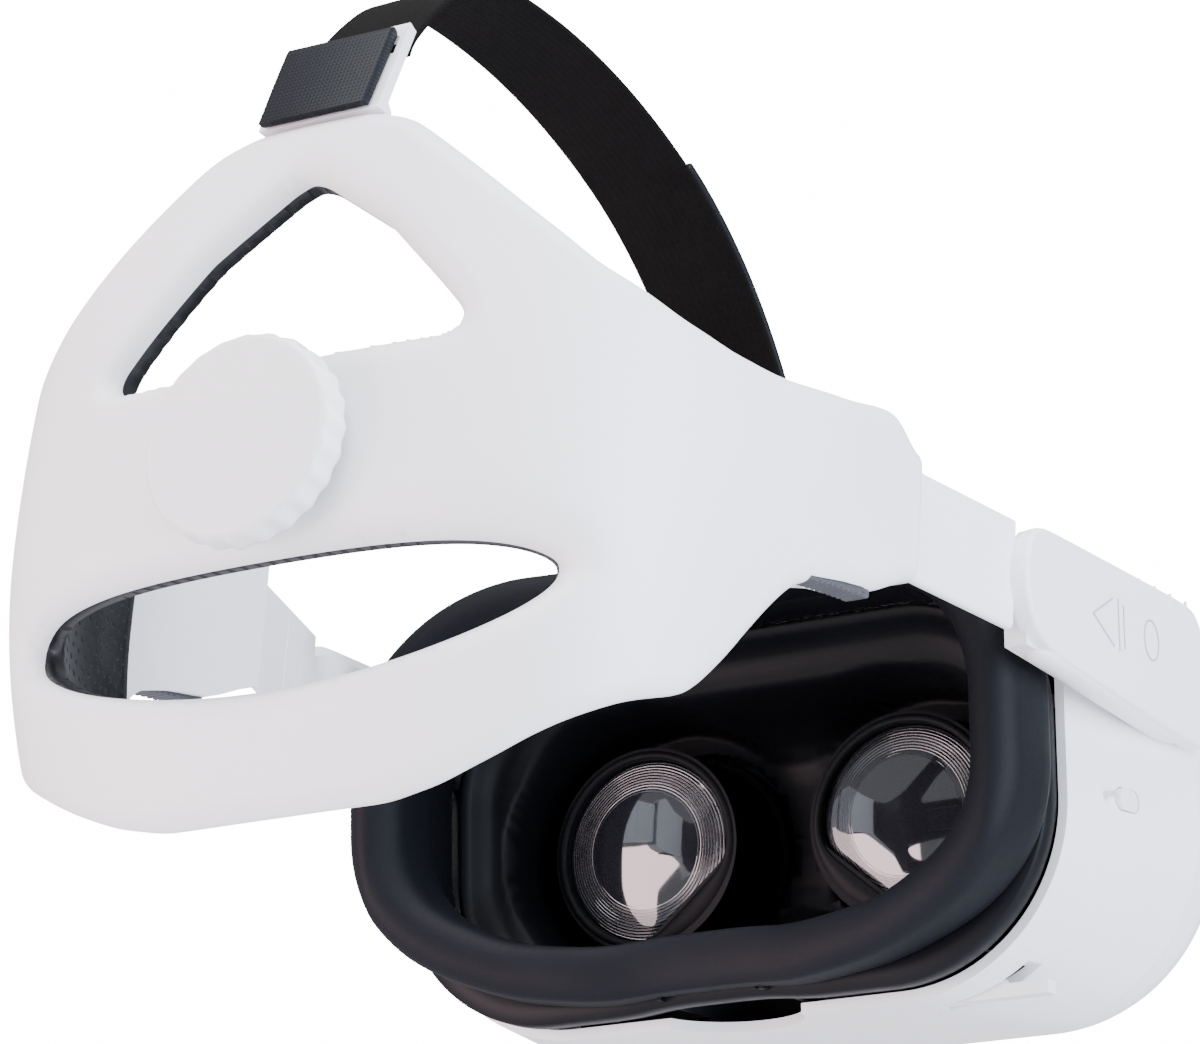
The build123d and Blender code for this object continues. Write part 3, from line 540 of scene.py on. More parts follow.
def brow_curve(loop, depth):
    """Shorten the ring in the middle, where the forehead meets it."""
    rear = 300.0 - np.sqrt(270.0 ** 2 - np.minimum(np.abs(loop[:, 0]), 82) ** 2)
    low = np.clip((36 - loop[:, 1]) / 16, 0, 1)
    rear = rear - 3.0 * low * np.exp(-(loop[:, 0] / 24) ** 4)
    share = np.clip((depth - PAD_FRONT) / (PAD_REAR - PAD_FRONT), 0, 1)
    return PAD_FRONT + share * (np.minimum(rear, PAD_REAR) - PAD_FRONT)


def cushion_profile():
    """Rounded section of the foam ring, from the frame over the soft rear edge."""
    points = [(1.8, PAD_FRONT), (0.6, 20.9), (0.15, 22.5), (0.0, 26.0), (0.1, 31.0)]
    for a in np.radians(np.linspace(0, 180, 17)):
        points.append((6.6 - 6.4 * math.cos(a), 35.2 + 6.8 * math.sin(a)))
    points += [(13.2, 31.0), (13.4, 26.0), (13.0, 22.0), (12.0, PAD_FRONT)]
    return points


def cushion_shape():
    """The foam ring, with its lower corners drawn up towards the cheeks."""
    verts, faces = ring_of(cushion_profile(), 86, 51, 44, 54.5, 1.0, brow_curve)
    low = np.clip((44 - verts[:, 2]) / 24, 0, 1)
    verts[:, 2] += 4.0 * low * np.exp(-((np.abs(verts[:, 0]) - 58) / 22) ** 2)
    return verts, faces


FOAM = foam_skin()
face_pad = add_piece("face_pad", *cushion_shape(), FOAM)
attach(face_pad, "visor")
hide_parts("face_cushion")


# --- Side arms ---
# The headset's own hinged arms, white mouldings on a pivot in each side wall, each with a small
# speaker near its rear end.
ARM_WHITE = moulded("arm_white", (0.83, 0.81, 0.84), (0.79, 0.77, 0.80), 0.44)
paint(ARM_WHITE, "left_side_arm", "right_side_arm")
paint(SPEAKER_CAN, "left_arm_speaker", "right_arm_speaker")


# --- Clip covers ---
# Printed white plates that clip the strap to the side arms. Each has a bowed rear end, grip ribs
# on its upper edge, a rolled lower lip and plain direction marks, coloured grey as painted shade.
COVER_OUTLINE = np.array([
    (-37, 62), (-36, 59.6), (-33.5, 58.9), (30, 64.9), (38, 65.9), (44.5, 68.0), (48.2, 71.5), (50.4, 76),
    (51.0, 80.5), (50.2, 85.5), (48.2, 89.5), (45.6, 92.4), (41.5, 93.4), (36, 93.5), (-28, 92.2), (-33, 91.0),
    (-36, 88.0), (-37, 84.5),
])


def across_of(along):
    """Unit directions square to the given (a, b) directions, on their left."""
    return np.stack([-along[:, 1], along[:, 0]], 1) / np.linalg.norm(along, axis=1)[:, None]


def inward(outline, amount):
    """Draw a closed outline in by an amount, along its own normals."""
    return outline + across_of(np.roll(outline, -1, 0) - np.roll(outline, 1, 0)) * amount


def cover_face(y):
    """X of the cover's outer face."""
    return 97.75 - (y + 37) * 2.1 / 84


def cover_shape(side):
    ends = np.roll(COVER_OUTLINE, -1, 0)
    shares = np.linspace(0, 1, 9)[:-1, None]
    dense = np.vstack([start + (end - start) * shares for start, end in zip(COVER_OUTLINE, ends)])
    for _ in range(8):
        dense = (np.roll(dense, 1, 0) + 2 * dense + np.roll(dense, -1, 0)) / 4
    rings = []
    for sink, inset in [
        (4.6, 1.2), (4.7, 0.3), (1.3, 0.0), (0.6, 0.15), (0.25, 0.45), (0.05, 0.8), (0.0, 1.1), (0.0, 1.2),
    ]:
        flat = inward(dense, inset)
        rings.append(np.insert(flat, 0, side * (cover_face(flat[:, 0]) - sink), axis=1))
    front, rear = -30, 41.5
    lip = []
    for y in np.linspace(front, rear, 40):
        swell = min(1.0, (rear - y) / 3.0, (y - front) / 6.0) ** 0.5 if front < y < rear else 0.02
        swell = max(swell, 0.05)
        mid_z = 60.6 + (y - front) * 6.0 / (rear - front)
        section = oval(circle(16), 3.6 * swell, 1.9 * swell, cover_face(y) - 4.2, mid_z)
        lip.append(at_depth(section * [side, 1], y))
    return join(skin(rings), skin(lip))


def marks(side):
    """Raised direction marks: an open chevron, a stop bar and a small ring."""
    strokes = [
        [(20.0, 79.0), (10.0, 84.5)], [(20.0, 79.0), (10.0, 73.5)], [(7.4, 73.0), (7.4, 85.0)],
        [(4.8, 74.0), (4.8, 84.0)],
    ]
    strokes.append(oval(np.linspace(0, 2 * math.pi, 25), 3.6, 4.6, -9, 79))
    shapes = []
    for stroke in strokes:
        path = np.array(stroke)
        rows = []
        for point, off in zip(path, across_of(np.gradient(path, axis=0)) * 0.28):
            inner = off * 0.6
            corners = [(point + off, -0.2), (point + inner, 0.2), (point - inner, 0.2), (point - off, -0.2)]
            rows.append([(side * (cover_face(p[0]) + lift), p[0], p[1]) for p, lift in corners])
        shapes.append(skin(rows))
    return join(*shapes)


def rib_tree():
    """Geometry Nodes: a small rib on every point, with its size and material as named inputs."""
    tree = bpy.data.node_groups.new("grip_ribs", "GeometryNodeTree")
    for label, way, kind in [
        ("Geometry", "INPUT", "Geometry"), ("Depth", "INPUT", "Float"), ("Thickness", "INPUT", "Float"),
        ("Height", "INPUT", "Float"), ("Material", "INPUT", "Material"), ("Geometry", "OUTPUT", "Geometry"),
    ]:
        tree.interface.new_socket(label, in_out=way, socket_type="NodeSocket" + kind)
    given, size, block, points, solid, coat, result = [tree.nodes.new(kind) for kind in (
        "NodeGroupInput", "ShaderNodeCombineXYZ", "GeometryNodeMeshCube", "GeometryNodeInstanceOnPoints",
        "GeometryNodeRealizeInstances", "GeometryNodeSetMaterial", "NodeGroupOutput",
    )]
    for source, label, target, slot in [
        (given, "Depth", size, "X"), (given, "Thickness", size, "Y"), (given, "Height", size, "Z"),
        (size, "Vector", block, "Size"), (given, "Geometry", points, "Points"),
        (block, "Mesh", points, "Instance"), (points, "Instances", solid, "Geometry"),
        (solid, "Geometry", coat, "Geometry"), (given, "Material", coat, "Material"),
        (coat, "Geometry", result, "Geometry"),
    ]:
        tree.links.new(source.outputs[label], target.inputs[slot])
    return tree


RIBS = rib_tree()


def ribs_at(name, spots, material):
    """Ribs at the given points, as a plain mesh."""
    piece = new_object(name, spots)
    modifier = piece.modifiers.new("ribs", "NODES")
    modifier.node_group = RIBS
    values = {"Thickness": 0.5 * MM, "Depth": 0.6 * MM, "Height": 4 * MM, "Material": material}
    for socket in RIBS.interface.items_tree:
        if socket.name in values:
            modifier[socket.identifier] = values[socket.name]
    return bake(piece)


CLIP_WHITE = moulded("clip_white", (0.86, 0.86, 0.885), (0.83, 0.83, 0.86), 0.40)
# The marks are coloured grey as painted shade, standing for the shade in marks cut into the white plate.
MARK_PAINTED_SHADE = moulded("mark_painted_shade", (0.42, 0.43, 0.48), (0.36, 0.37, 0.42), 0.45)
for side, name in SIDES:
    cover = add_piece(name + "_cover", *cover_shape(side), CLIP_WHITE, sharp=55)
    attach(cover, "side_arms")
    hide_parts(name + "_clip_cover")
    # Raised marks in the grey painted-shade material.
    sign = add_piece(name + "_cover_marks", *marks(side), MARK_PAINTED_SHADE, sharp=30)
    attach(sign, "side_arms")
    spots = [(side * (cover_face(y) - 0.1), y, 90.2) for y in (4, -4, -12, -20, -28)]
    ribs = ribs_at(name + "_cover_ribs", spots, CLIP_WHITE)
    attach(ribs, "side_arms")


# --- Adjuster bars ---
# Flat white bars, splayed out from the cradle's cuffs to the covers, with a fine joint line
# halfway and a narrower tail that slides in the cuff.
STRAP_TILT = math.radians(8)
STRAP_Y = 5.0
STRAP_Z = 63.2
TILT_COS, TILT_SIN = math.cos(STRAP_TILT), math.sin(STRAP_TILT)


def strap_frame(points):
    """Turn points of the level strap into place: it sits tilted up at the rear."""
    x, y, z = np.moveaxis(np.asarray(points, float), -1, 0)
    y = y - STRAP_Y
    return np.stack([x, TILT_COS * y - TILT_SIN * z + STRAP_Y, TILT_SIN * y + TILT_COS * z + STRAP_Z], -1)


def on_strap(shape):
    """Put a shape drawn on the level strap into place."""
    verts, faces = shape
    return strap_frame(verts), faces


BAR_X = 82.05


def bar_section(x, y, low, high, thick=2.6):
    """Upright rounded section of a bar."""
    return at_depth(rounded_loop(thick / 2, (high - low) / 2, 1.1, (low + high) / 2, 4, 6) + [x, 0], y)


def bar_shape(side):
    stations = [
        (50.4, 0.8), (51.2, 0.0), (59, 0.0), (67.9, 0.0), (68.0, 0.12), (68.3, 0.12), (68.4, 0.0), (78, 0.0),
        (86.5, 0.0), (88.0, 0.0),
    ]
    rings = []
    for y, sink in stations:
        x = np.interp(y, [50.4, 86.5, 122], [90.4, BAR_X, BAR_X])
        rings.append(bar_section(side * x, y, -0.3 + sink, 25.1 - sink, 2.6 - 2 * sink))
    for y, thick in ((88.05, 2.6), (120, 2.6), (122, 1.6)):
        rings.append(bar_section(side * BAR_X, y, 3.0, 18.0, thick))
    return on_strap(skin(rings))


for side, name in SIDES:
    bar = add_piece(name + "_bar", *bar_shape(side), CLIP_WHITE, sharp=40)
    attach(bar, "side_arms")
    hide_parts(name + "_adjuster_bar")


# --- Cradle shell ---
# The rear band: one white moulding that wraps the back of the head, with an eye-shaped slot, a
# triangular window above it and a hollow cuff at each front end. Its edges all curl inwards.
WAIST_HALF = 86.0
WAIST_DEEP = 108.0
WAIST_MID = 95.0
CUFF_END = 87.0
CUFF_FACE = 87.8
EDGE_STEP = 0.5


def lengths_along(points):
    """Running length at each point of a path."""
    return np.append(0, np.cumsum(np.hypot(*np.diff(points, axis=0).T)))


def waist_line():
    """Plan of the cradle at its waist, from the middle of the back to a front end."""
    u = np.linspace(0, 1, 3000)
    turn = math.pi / 2 * u * u * (3 - 2 * u)
    x = np.append(WAIST_HALF * np.sin(turn) ** 0.5, WAIST_HALF)
    y = np.append(WAIST_MID + WAIST_DEEP * np.clip(np.cos(turn), 0, 1) ** 0.5, CUFF_END)
    return lengths_along(np.stack([x, y], 1)), x, y


RUN, RUN_X, RUN_Y = waist_line()
RUN_END = RUN[-1]


def drawn_in(z):
    """How much the plan shrinks above and below the waist."""
    return 1 - ((z + 10) / np.where(z > -10, 300.0, 190.0)) ** 2


def outer_point(run, z):
    """A point of the outer surface, from its running length and height."""
    x = np.interp(np.abs(run), RUN, RUN_X)
    y = np.interp(np.abs(run), RUN, RUN_Y)
    scale = drawn_in(z)
    flat = ease(150, 118, y)
    x = x * scale * (1 - flat) + CUFF_FACE * flat
    return np.stack([np.sign(run) * x, WAIST_MID + (y - WAIST_MID) * scale, z], -1)


def sunk_point(run, z, depth):
    """A point below the outer surface."""
    step = 0.6
    along = outer_point(run + step, z) - outer_point(run - step, z)
    beyond = np.abs(run) + step > RUN_END
    along[beyond] = [0, -1, 0] * np.sign(run[beyond])[:, None]
    up = outer_point(run, z + step) - outer_point(run, z - step)
    inwards = np.cross(along, up)
    inwards /= np.linalg.norm(inwards, axis=-1)[..., None]
    return outer_point(run, z) + inwards * np.asarray(depth)[..., None]


def run_of_x(x, z):
    """Running length at which the outer surface has this X, or in run_of_y this Y."""
    return np.interp(x / drawn_in(z), RUN_X, RUN)


def run_of_y(y, z):
    return np.interp(-(WAIST_MID + (y - WAIST_MID) / drawn_in(z)), -RUN_Y, RUN)


def bell(count, step, spread):
    """Weights of a Gaussian blur, count points to either side."""
    weights = np.exp(-0.5 * (np.arange(-count, count + 1) * step / spread) ** 2)
    return weights / weights.sum()


def edge_height(rear, flank):
    """Smooth height of an edge all along the band: rear points are (x, z), flank points (y, z)."""
    points = [(run_of_x(x, z), z) for x, z in rear] + [(run_of_y(y, z), z) for y, z in flank]
    run, z = np.array(sorted(points)).T
    steps = np.arange(-RUN_END - 30, RUN_END + 30, EDGE_STEP)
    height = np.pad(np.interp(np.abs(steps), run, z), 24, mode="edge")
    return steps, np.convolve(height, bell(24, EDGE_STEP, 3.0), "valid")


TOP_EDGE = edge_height(
    [(0, 72.9), (13, 72.6), (24, 69.0), (38, 57.0), (54, 43), (64, 34.5)],
    [(188, 31), (172, 23.5), (158, 21.5), (140, 22.5), (118, 26.5), (103, 31.0), (97, 32.2), (91, 27.2),
     (87, 26.6)],
)
LOW_EDGE = edge_height(
    [(0, -78.3), (26, -78.3), (38, -75.8), (50, -71), (62, -64.5), (72, -58)],
    [(160, -53), (151, -41.5), (142, -28.5), (134, -20.0), (120, -15), (104, -11.2), (87, -1.8)],
)


def soft_outline(points, spread, steps=360):
    """Closed smooth outline through corner points, evenly spaced."""
    loop = np.vstack([points, points[:1]])
    run = lengths_along(loop)
    at = np.linspace(0, run[-1], steps + 1)[:-1]
    width = run[-1] / steps
    reach = int(3 * spread / width) + 1
    smooth = []
    for values in loop.T:
        dense = np.interp(at, run, values)
        dense = np.concatenate([dense[-reach:], dense, dense[:reach]])
        smooth.append(np.convolve(dense, bell(reach, width, spread), "valid"))
    return np.stack(smooth, 1)


def eye_window(grow=0.0):
    """Eye-shaped slot: flat upper lid, deeper lower lid."""
    turn = circle(240)
    x = (65.0 + grow) * np.cos(turn)
    rise = np.abs(np.sin(turn))
    upper = (7.6 + grow) * rise ** 0.8
    lower = (19.6 + grow) * rise ** 1.1
    z = -34.5 + np.where(np.sin(turn) > 0, upper, -lower)
    return np.stack([np.sign(x) * run_of_x(np.abs(x), z), z], 1)


def triangle_window(grow=0.0):
    """Triangular opening with a low base, drawn as its right half."""
    half = np.array([
        (0, 59.5), (4, 57.6), (22, 44.0), (36, 28.5), (42.0, 21.5), (42.8, 18.6), (41.0, 16.4), (37, 15.7),
        (20, 15.8),
    ])
    x, z = (half + [grow * 0.5, 0]).T
    z = z + np.where(z > 20, grow, -grow)
    x = run_of_x(x, z)
    x[0] = 0
    right = np.stack([x, z], 1)
    left = (right * [-1, 1])[:0:-1]
    return soft_outline(np.vstack([right, left]), 1.1)


def inside(points, contour):
    """Which points lie inside a closed contour."""
    x, z = points.T
    odd = np.zeros(len(points), bool)
    for (x0, z0), (x1, z1) in zip(contour, np.roll(contour, -1, 0)):
        if z0 != z1:
            odd ^= ((z0 > z) != (z1 > z)) & (x < (x1 - x0) * (z - z0) / (z1 - z0) + x0)
    return odd


def nearest(points, contour):
    """Distance to a contour, and the nearest point on it."""
    ahead = np.roll(contour, -1, 0) - contour
    fine = np.vstack([contour + ahead * share for share in np.linspace(0, 1, 7)[:-1]])
    tree = kdtree.KDTree(len(fine))
    for i, (x, z) in enumerate(fine):
        tree.insert((x, z, 0), i)
    tree.balance()
    found = [tree.find((x, z, 0)) for x, z in points]
    return np.array([f[2] for f in found]), fine[[f[1] for f in found]]


def curl(distance, width, depth):
    """How far a surface has turned in, this near its edge."""
    share = 1 - np.clip(distance / width, 0, 1)
    return depth * (1 - np.sqrt(np.clip(1 - share * share, 0, 1)))


def band_grid(run_end, windows, trim=0.0, columns=341, middle=96):
    """Running lengths and heights over the band, with its kept faces and its distances to edges."""
    runs = np.linspace(-run_end, run_end, columns)
    low = np.interp(runs, *LOW_EDGE) + trim
    high = np.interp(runs, *TOP_EDGE) - trim
    edges = np.array([0, 0.15, 0.5, 1.1, 1.9, 2.9, 4.2])
    share = np.linspace(0, 1, middle)[None, 1:-1]
    inner = (low[:, None] + 4.2) + (high - low - 8.4)[:, None] * share
    heights = np.hstack([low[:, None] + edges, inner, high[:, None] - edges[::-1]])
    rows = heights.shape[1]
    flat = np.stack([np.repeat(runs, rows), heights.ravel()], 1)
    index = np.arange(columns * rows).reshape(columns, rows)
    quads = np.stack([index[:-1, :-1], index[1:, :-1], index[1:, 1:], index[:-1, 1:]], -1).reshape(-1, 4)
    gaps = []
    for contour in windows:
        hollow = inside(flat, contour)
        gone = hollow[quads].any(1)
        rim = np.intersect1d(quads[~gone].ravel(), quads[gone].ravel())
        quads = quads[~gone]
        flat[rim] = nearest(flat[rim], contour)[1]
        used = np.zeros(len(flat), bool)
        used[quads.ravel()] = True
        gap = np.full(len(flat), 99.0)
        gap[used] = nearest(flat[used], contour)[0]
        gap[rim] = 0
        gaps.append(gap)
        free = used & (gap < 7)
        free[rim] = False
        flat = evened(flat, free, columns, rows)
        gap[used] = np.where(gap[used] > 0, nearest(flat[used], contour)[0], 0)
    return flat, quads, gaps


def evened(flat, free, columns, rows):
    """Even out the spacing of the free points of a grid."""
    net = flat.reshape(columns, rows, 2).copy()
    loose = free.reshape(columns, rows).copy()
    loose[:, :8] = loose[:, -8:] = False
    loose[0] = loose[-1] = False
    for _ in range(12):
        mean = (np.roll(net, 1, 0) + np.roll(net, -1, 0) + np.roll(net, 1, 1) + np.roll(net, -1, 1)) / 4
        net[loose] = mean[loose]
    return net.reshape(-1, 2)


def two_walls(flat, quads, outer_depth, inner_depth):
    """Closed shell between two depths below the outer surface."""
    count = len(flat)
    run, z = flat.T
    verts = np.vstack([sunk_point(run, z, outer_depth), sunk_point(run, z, inner_depth)])
    edges = np.vstack([quads[:, [i, (i + 1) % 4]] for i in range(4)])
    key = edges[:, 0] * count + edges[:, 1]
    back = edges[:, 1] * count + edges[:, 0]
    rim = edges[~np.isin(key, back)]
    faces = [tuple(q) for q in quads] + [tuple(q[::-1] + count) for q in quads]
    faces += [(b, a, a + count, b + count) for a, b in rim]
    used = np.unique(np.concatenate([quads.ravel(), quads.ravel() + count]))
    new = np.full(len(verts), -1)
    new[used] = np.arange(len(used))
    return verts[used], [tuple(new[list(face)]) for face in faces]


def edge_gap(flat, trim=0.0):
    """Distance to the band's upper and lower edges."""
    run, z = flat.T
    low = np.interp(run, *LOW_EDGE) + trim
    high = np.interp(run, *TOP_EDGE) - trim
    slopes = [np.hypot(1, np.gradient(edge[1], EDGE_STEP)) for edge in (LOW_EDGE, TOP_EDGE)]
    below = (z - low) / np.interp(run, LOW_EDGE[0], slopes[0])
    above = (high - z) / np.interp(run, TOP_EDGE[0], slopes[1])
    return np.minimum(below, above)


def wall_at(flat):
    """Thickness of the shell: thin behind, thick in the cuffs."""
    y = np.interp(np.abs(flat[:, 0]), RUN, RUN_Y)
    return 4.0 + 5.6 * ease(151, 139, y)


def shell_depths(flat, gaps):
    eye, triangle = gaps
    below_eye = ease(-33, -42, flat[:, 1])
    lid = curl(eye, 11 - 5 * below_eye, 6.0 - 2.0 * below_eye)
    window = curl(triangle, 6.5, 4.2)
    rim = curl(edge_gap(flat), 4.4, 3.3)
    end = curl(RUN_END - np.abs(flat[:, 0]), 1.4, 1.1)
    outer = np.maximum.reduce([lid, window, rim, end])
    return outer, np.maximum(wall_at(flat), outer + 1.3)


def hollow_out(piece, x0, x1, y0, y1, z0, z1):
    """Cut a box drawn on the level strap out of a piece."""
    box = prism([(x0, y0), (x1, y0), (x1, y1), (x0, y1)], z0, z1, axis=2)
    cut(piece, add_piece("hollow", *on_strap(box), piece.data.materials[0]))


flat, quads, gaps = band_grid(RUN_END, [eye_window(), triangle_window()])
band = two_walls(flat, quads, *shell_depths(flat, gaps))
cradle = add_piece("cradle_band", *on_strap(band), SHELL_WHITE, sharp=70)
for side in (-1, 1):
    for x0, x1, y0, y1, z0, z1 in (
        (79.7, 86.3, 80, 101.6, -0.8, 25.7), (79.7, 84.5, 79, 138.6, 2.1, 18.9),
        (79.6, 86.0, 104.5, 130.5, -19, -11.5),
    ):
        hollow_out(cradle, side * x0, side * x1, y0, y1, z0, z1)
shade(cradle, 60)
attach(cradle, "cradle")
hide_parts("cradle_shell")
paint(DARK_GREY, "gear_housing")


# --- Cuff release pieces ---
# Dark grey slotted keys let into the underside of each cuff, flush but for a thin ribbed face.
def release_shape(side):
    rings = []
    stations = np.concatenate([[104.9, 105.3], np.arange(106.5, 129, 0.55), [129.6, 130.1]])
    last = len(stations) - 1
    for i, y in enumerate(stations):
        floor = np.interp(y, (104, 120, 131), (-12.7, -15.9, -18.3))
        groove = 0.5 if 3 < i < last - 3 and i % 4 < 2 else 0.0
        ends = 0.4 if i in (0, last) else 0.0
        loop = rounded_loop(2.8 - ends, (-11.0 - floor) / 2 - ends, 0.5, (floor - 11.0) / 2, 3, 4)
        loop[:, 1] += groove * (loop[:, 1] < floor + 0.6)
        rings.append(at_depth(loop + [side * 82.8, 0], y))
    return on_strap(skin(rings))


for side, name in SIDES:
    key = add_piece(name + "_release_key", *release_shape(side), DARK_GREY, sharp=40)
    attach(key, "cradle")
    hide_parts(name + "_cuff_insert")


# --- Cradle lining ---
# Padded liner of foam under perforated black synthetic leather, with windows of its own and a
# separate panel over the gear housing. Its edges are rounded and its middle is slightly full.
def perforated_leather():
    """Fine leather grain with staggered rows of punched holes, painted darker as painted shade inside them,
    laid out on the pad's own UV map.
    """
    finish = Finish("perforated_leather")
    across, up, _ = finish.axes("UV")
    pitch = 1 / 0.0036
    row = up * (pitch * 1.15)
    u = (across * pitch + row.math("FLOOR") * 0.5).math("FRACT") - 0.5
    v = row.math("FRACT") - 0.5
    away = (u * u + v * v).math("SQRT")
    hole = 1.0 - finish.ramp(away, 0.17, 0.23)
    cells = {"feature": "DISTANCE_TO_EDGE"}
    grain = finish.node("ShaderNodeTexVoronoi", cells, Vector=finish.place(), Scale=1100.0)
    creases = finish.noise(60.0, 3.0)
    tint = finish.mix(creases, (0.0028, 0.0034, 0.0050, 1), (0.0050, 0.0058, 0.0080, 1))
    # The holes get a darker colour than the leather: painted shade inside the punched holes.
    base = finish.mix(hole, tint, (0.002, 0.002, 0.003, 1))
    rough = creases * 0.12 + hole * 0.3 + 0.36
    normal = finish.bump(1.0 - hole, 0.0005, 1.0, finish.bump(grain, 0.00006, 0.35))
    return finish.surface(base, rough, normal)


FAN_Y = 60.0


def unroll(piece):
    """Give a pad a UV map in metres along and across the band."""
    layer = piece.data.uv_layers.new(name="UVMap")
    vertex = np.zeros(len(piece.data.loops), int)
    piece.data.loops.foreach_get("vertex_index", vertex)
    layer.data.foreach_set("uv", (strap_coordinates(piece)[vertex] * MM).astype(np.float32).ravel())


def strap_coordinates(piece):
    """Running length and height of each point of a finished pad, from where it lies."""
    x, y, z = np.array([v.co for v in piece.data.vertices]).T / MM
    y = y - STRAP_Y
    z = z - STRAP_Z
    level_y = TILT_COS * y + TILT_SIN * z + STRAP_Y
    turn = np.arctan2(x, np.maximum(level_y - FAN_Y, 1))
    run = np.interp(np.abs(turn), np.arctan2(RUN_X, RUN_Y - FAN_Y), RUN) * np.sign(turn)
    return np.stack([run, TILT_COS * z - TILT_SIN * y], 1)


LEATHER = perforated_leather()
LINING_END = float(run_of_y(141.5, 0.0))
LINING_TRIM = 1.3
flat, quads, gaps = band_grid(LINING_END, [eye_window(-0.1), triangle_window(0.5)], LINING_TRIM, 301, 84)
edge = np.minimum.reduce([*gaps, edge_gap(flat, LINING_TRIM), LINING_END - np.abs(flat[:, 0])])
outer = shell_depths(flat, [nearest(flat, window())[0] for window in (eye_window, triangle_window)])[1] + 0.3
full = 10.6 - curl(edge, 3.2, 1.3) + 0.9 * ease(3, 16, edge)
inner = np.maximum(full, outer + 1.6)
lining = add_piece("lining_pad", *on_strap(two_walls(flat, quads, outer, inner)), LEATHER, sharp=75)
hollow_out(lining, -33.4, 33.4, 183.0, 205, -17.3, 6.5)
shade(lining, 70)
unroll(lining)
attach(lining, "cradle")
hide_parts("cradle_lining")


DIAL_Z = -5.4


def patch_shape():
    """Crowned panel with rounded edges."""
    rings = []
    for depth, inset in [
        (189.5, 1.2), (189.5, 0.2), (188.0, 0.0), (186.0, 0.1), (184.9, 0.7), (184.1, 2.0), (183.8, 4.0),
        (183.6, 7.0), (183.5, 10.0),
    ]:
        rings.append(at_depth(rounded_loop(32.8 - inset, 11.3 - inset, 4.5 - inset, DIAL_Z, 12, 8), depth))
    return on_strap(skin(rings))


patch = add_piece("lining_panel", *patch_shape(), LEATHER)
unroll(patch)
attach(patch, "cradle")
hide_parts("lining_patch")


# --- Size dial ---
# White dial with a flat, smooth face and a scalloped grip, on the shaft that drives the racks.
LOBES = 24


def dial_shape():
    turn = circle(LOBES * 14)
    rings = []
    for y, radius, lobe in [
        (204.7, 3.2, 0), (204.7, 19.5, 0), (204.8, 21.4, 0.2), (205.2, 21.9, 0.3), (206.2, 22.0, 0.34),
        (208.4, 22.0, 0.34), (209.8, 21.95, 0.3), (210.7, 21.75, 0.2), (211.2, 21.5, 0.08), (211.55, 21.1, 0),
        (211.75, 20.6, 0), (211.8, 20.0, 0), (211.8, 19.9, 0), (211.8, 10.0, 0), (211.8, 2.0, 0),
    ]:
        reach = radius + lobe * np.cos(LOBES * turn)
        rings.append(at_depth(oval(turn, reach, reach, z=DIAL_Z), y))
    return on_strap(skin(rings))


DIAL_WHITE = moulded("dial_white", (0.87, 0.87, 0.885), (0.84, 0.84, 0.86), 0.34, 1000.0, 0.00001)
dial = add_piece("dial_cap", *dial_shape(), DIAL_WHITE, sharp=50)
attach(dial, "dial")
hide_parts("adjuster_knob")
paint(DARK_GREY, "adjuster_pinion", "ratchet_wheel", "left_rack", "right_rack")


# --- Top strap ---
# Hook-and-loop webbing from the visor's crown bracket over the head to a white tongue on the
# cradle: smooth inside, looped outside, with a dark sewn tab at each end.
def weave(finish, axis, scale, **constants):
    """Fine parallel ribs across one axis."""
    settings = {"bands_direction": axis}
    return finish.node("ShaderNodeTexWave", settings, Vector=finish.place(), Scale=scale, **constants)


def webbing():
    """Looped outer face and fine ribs, with lighter worn fibres."""
    finish = Finish("loop_webbing")
    fuzz = finish.noise(3200.0, 5.0)
    ribs = weave(finish, "X", 190.0, Distortion=1.5)
    wear = finish.ramp(finish.noise(45.0, 4.0), 0.4, 0.75)
    base = finish.mix(wear, (0.0016, 0.0012, 0.0012, 1), (0.0038, 0.0028, 0.0028, 1))
    normal = finish.bump(fuzz, 0.0005, 0.8, finish.bump(ribs, 0.00015, 0.5))
    rough = fuzz * 0.2 + 0.75
    return finish.surface(base, rough, normal, Specular_IOR_Level=0.10)


def tab_weave():
    """Plain satin weave of the sewn tabs."""
    finish = Finish("tab_weave")
    cloth = weave(finish, "X", 330.0) * weave(finish, "Z", 330.0)
    base = finish.mix(finish.noise(60.0, 3.0), (0.0035, 0.0042, 0.0062, 1), (0.0060, 0.0070, 0.0100, 1))
    rough = cloth * 0.15 + 0.50
    normal = finish.bump(cloth, 0.00012, 0.6)
    return finish.surface(base, rough, normal, Specular_IOR_Level=0.14)


def turned(arm, angle):
    """A (Y, Z) vector turned by an angle."""
    c, s = math.cos(angle), math.sin(angle)
    return np.array([c * arm[0] - s * arm[1], s * arm[0] + c * arm[1]])


def arc_points(start, heading, end, steps):
    """Arc that leaves start along a heading and ends at end: its points and its last heading."""
    chord = end - start
    side = np.array([-heading[1], heading[0]])
    reach = chord @ side
    centre = start + side * (chord @ chord) / (2 * reach)
    sweep = 2 * math.atan2(reach, chord @ heading)
    points = [centre + turned(start - centre, turn) for turn in np.linspace(0, sweep, steps)]
    return np.array(points), turned(heading, sweep)


def first_heading(start, middle, end):
    """Direction in which the circle through three points leaves the first."""
    a, b = middle - start, end - start
    centre = np.linalg.solve(2 * np.array([a, b]), [a @ a, b @ b])
    heading = np.array([centre[1], -centre[0]]) / np.linalg.norm(centre)
    return heading if heading @ a > 0 else -heading


def strap_line():
    """Middle line of the top strap in Y and Z, as its five runs."""
    stops = np.array([(-10, 105), (50, 190), (122, 206.4), (148, 197.5), (163.5, 183), (166.3, 178.3)])
    heading = first_heading(stops[0], np.array([8.0, 154.0]), stops[1])
    runs = []
    for start, end in zip(stops[:-1], stops[1:]):
        points, heading = arc_points(start, heading, end, 40 if end[1] > 189 else 12)
        runs.append(points)
    return runs


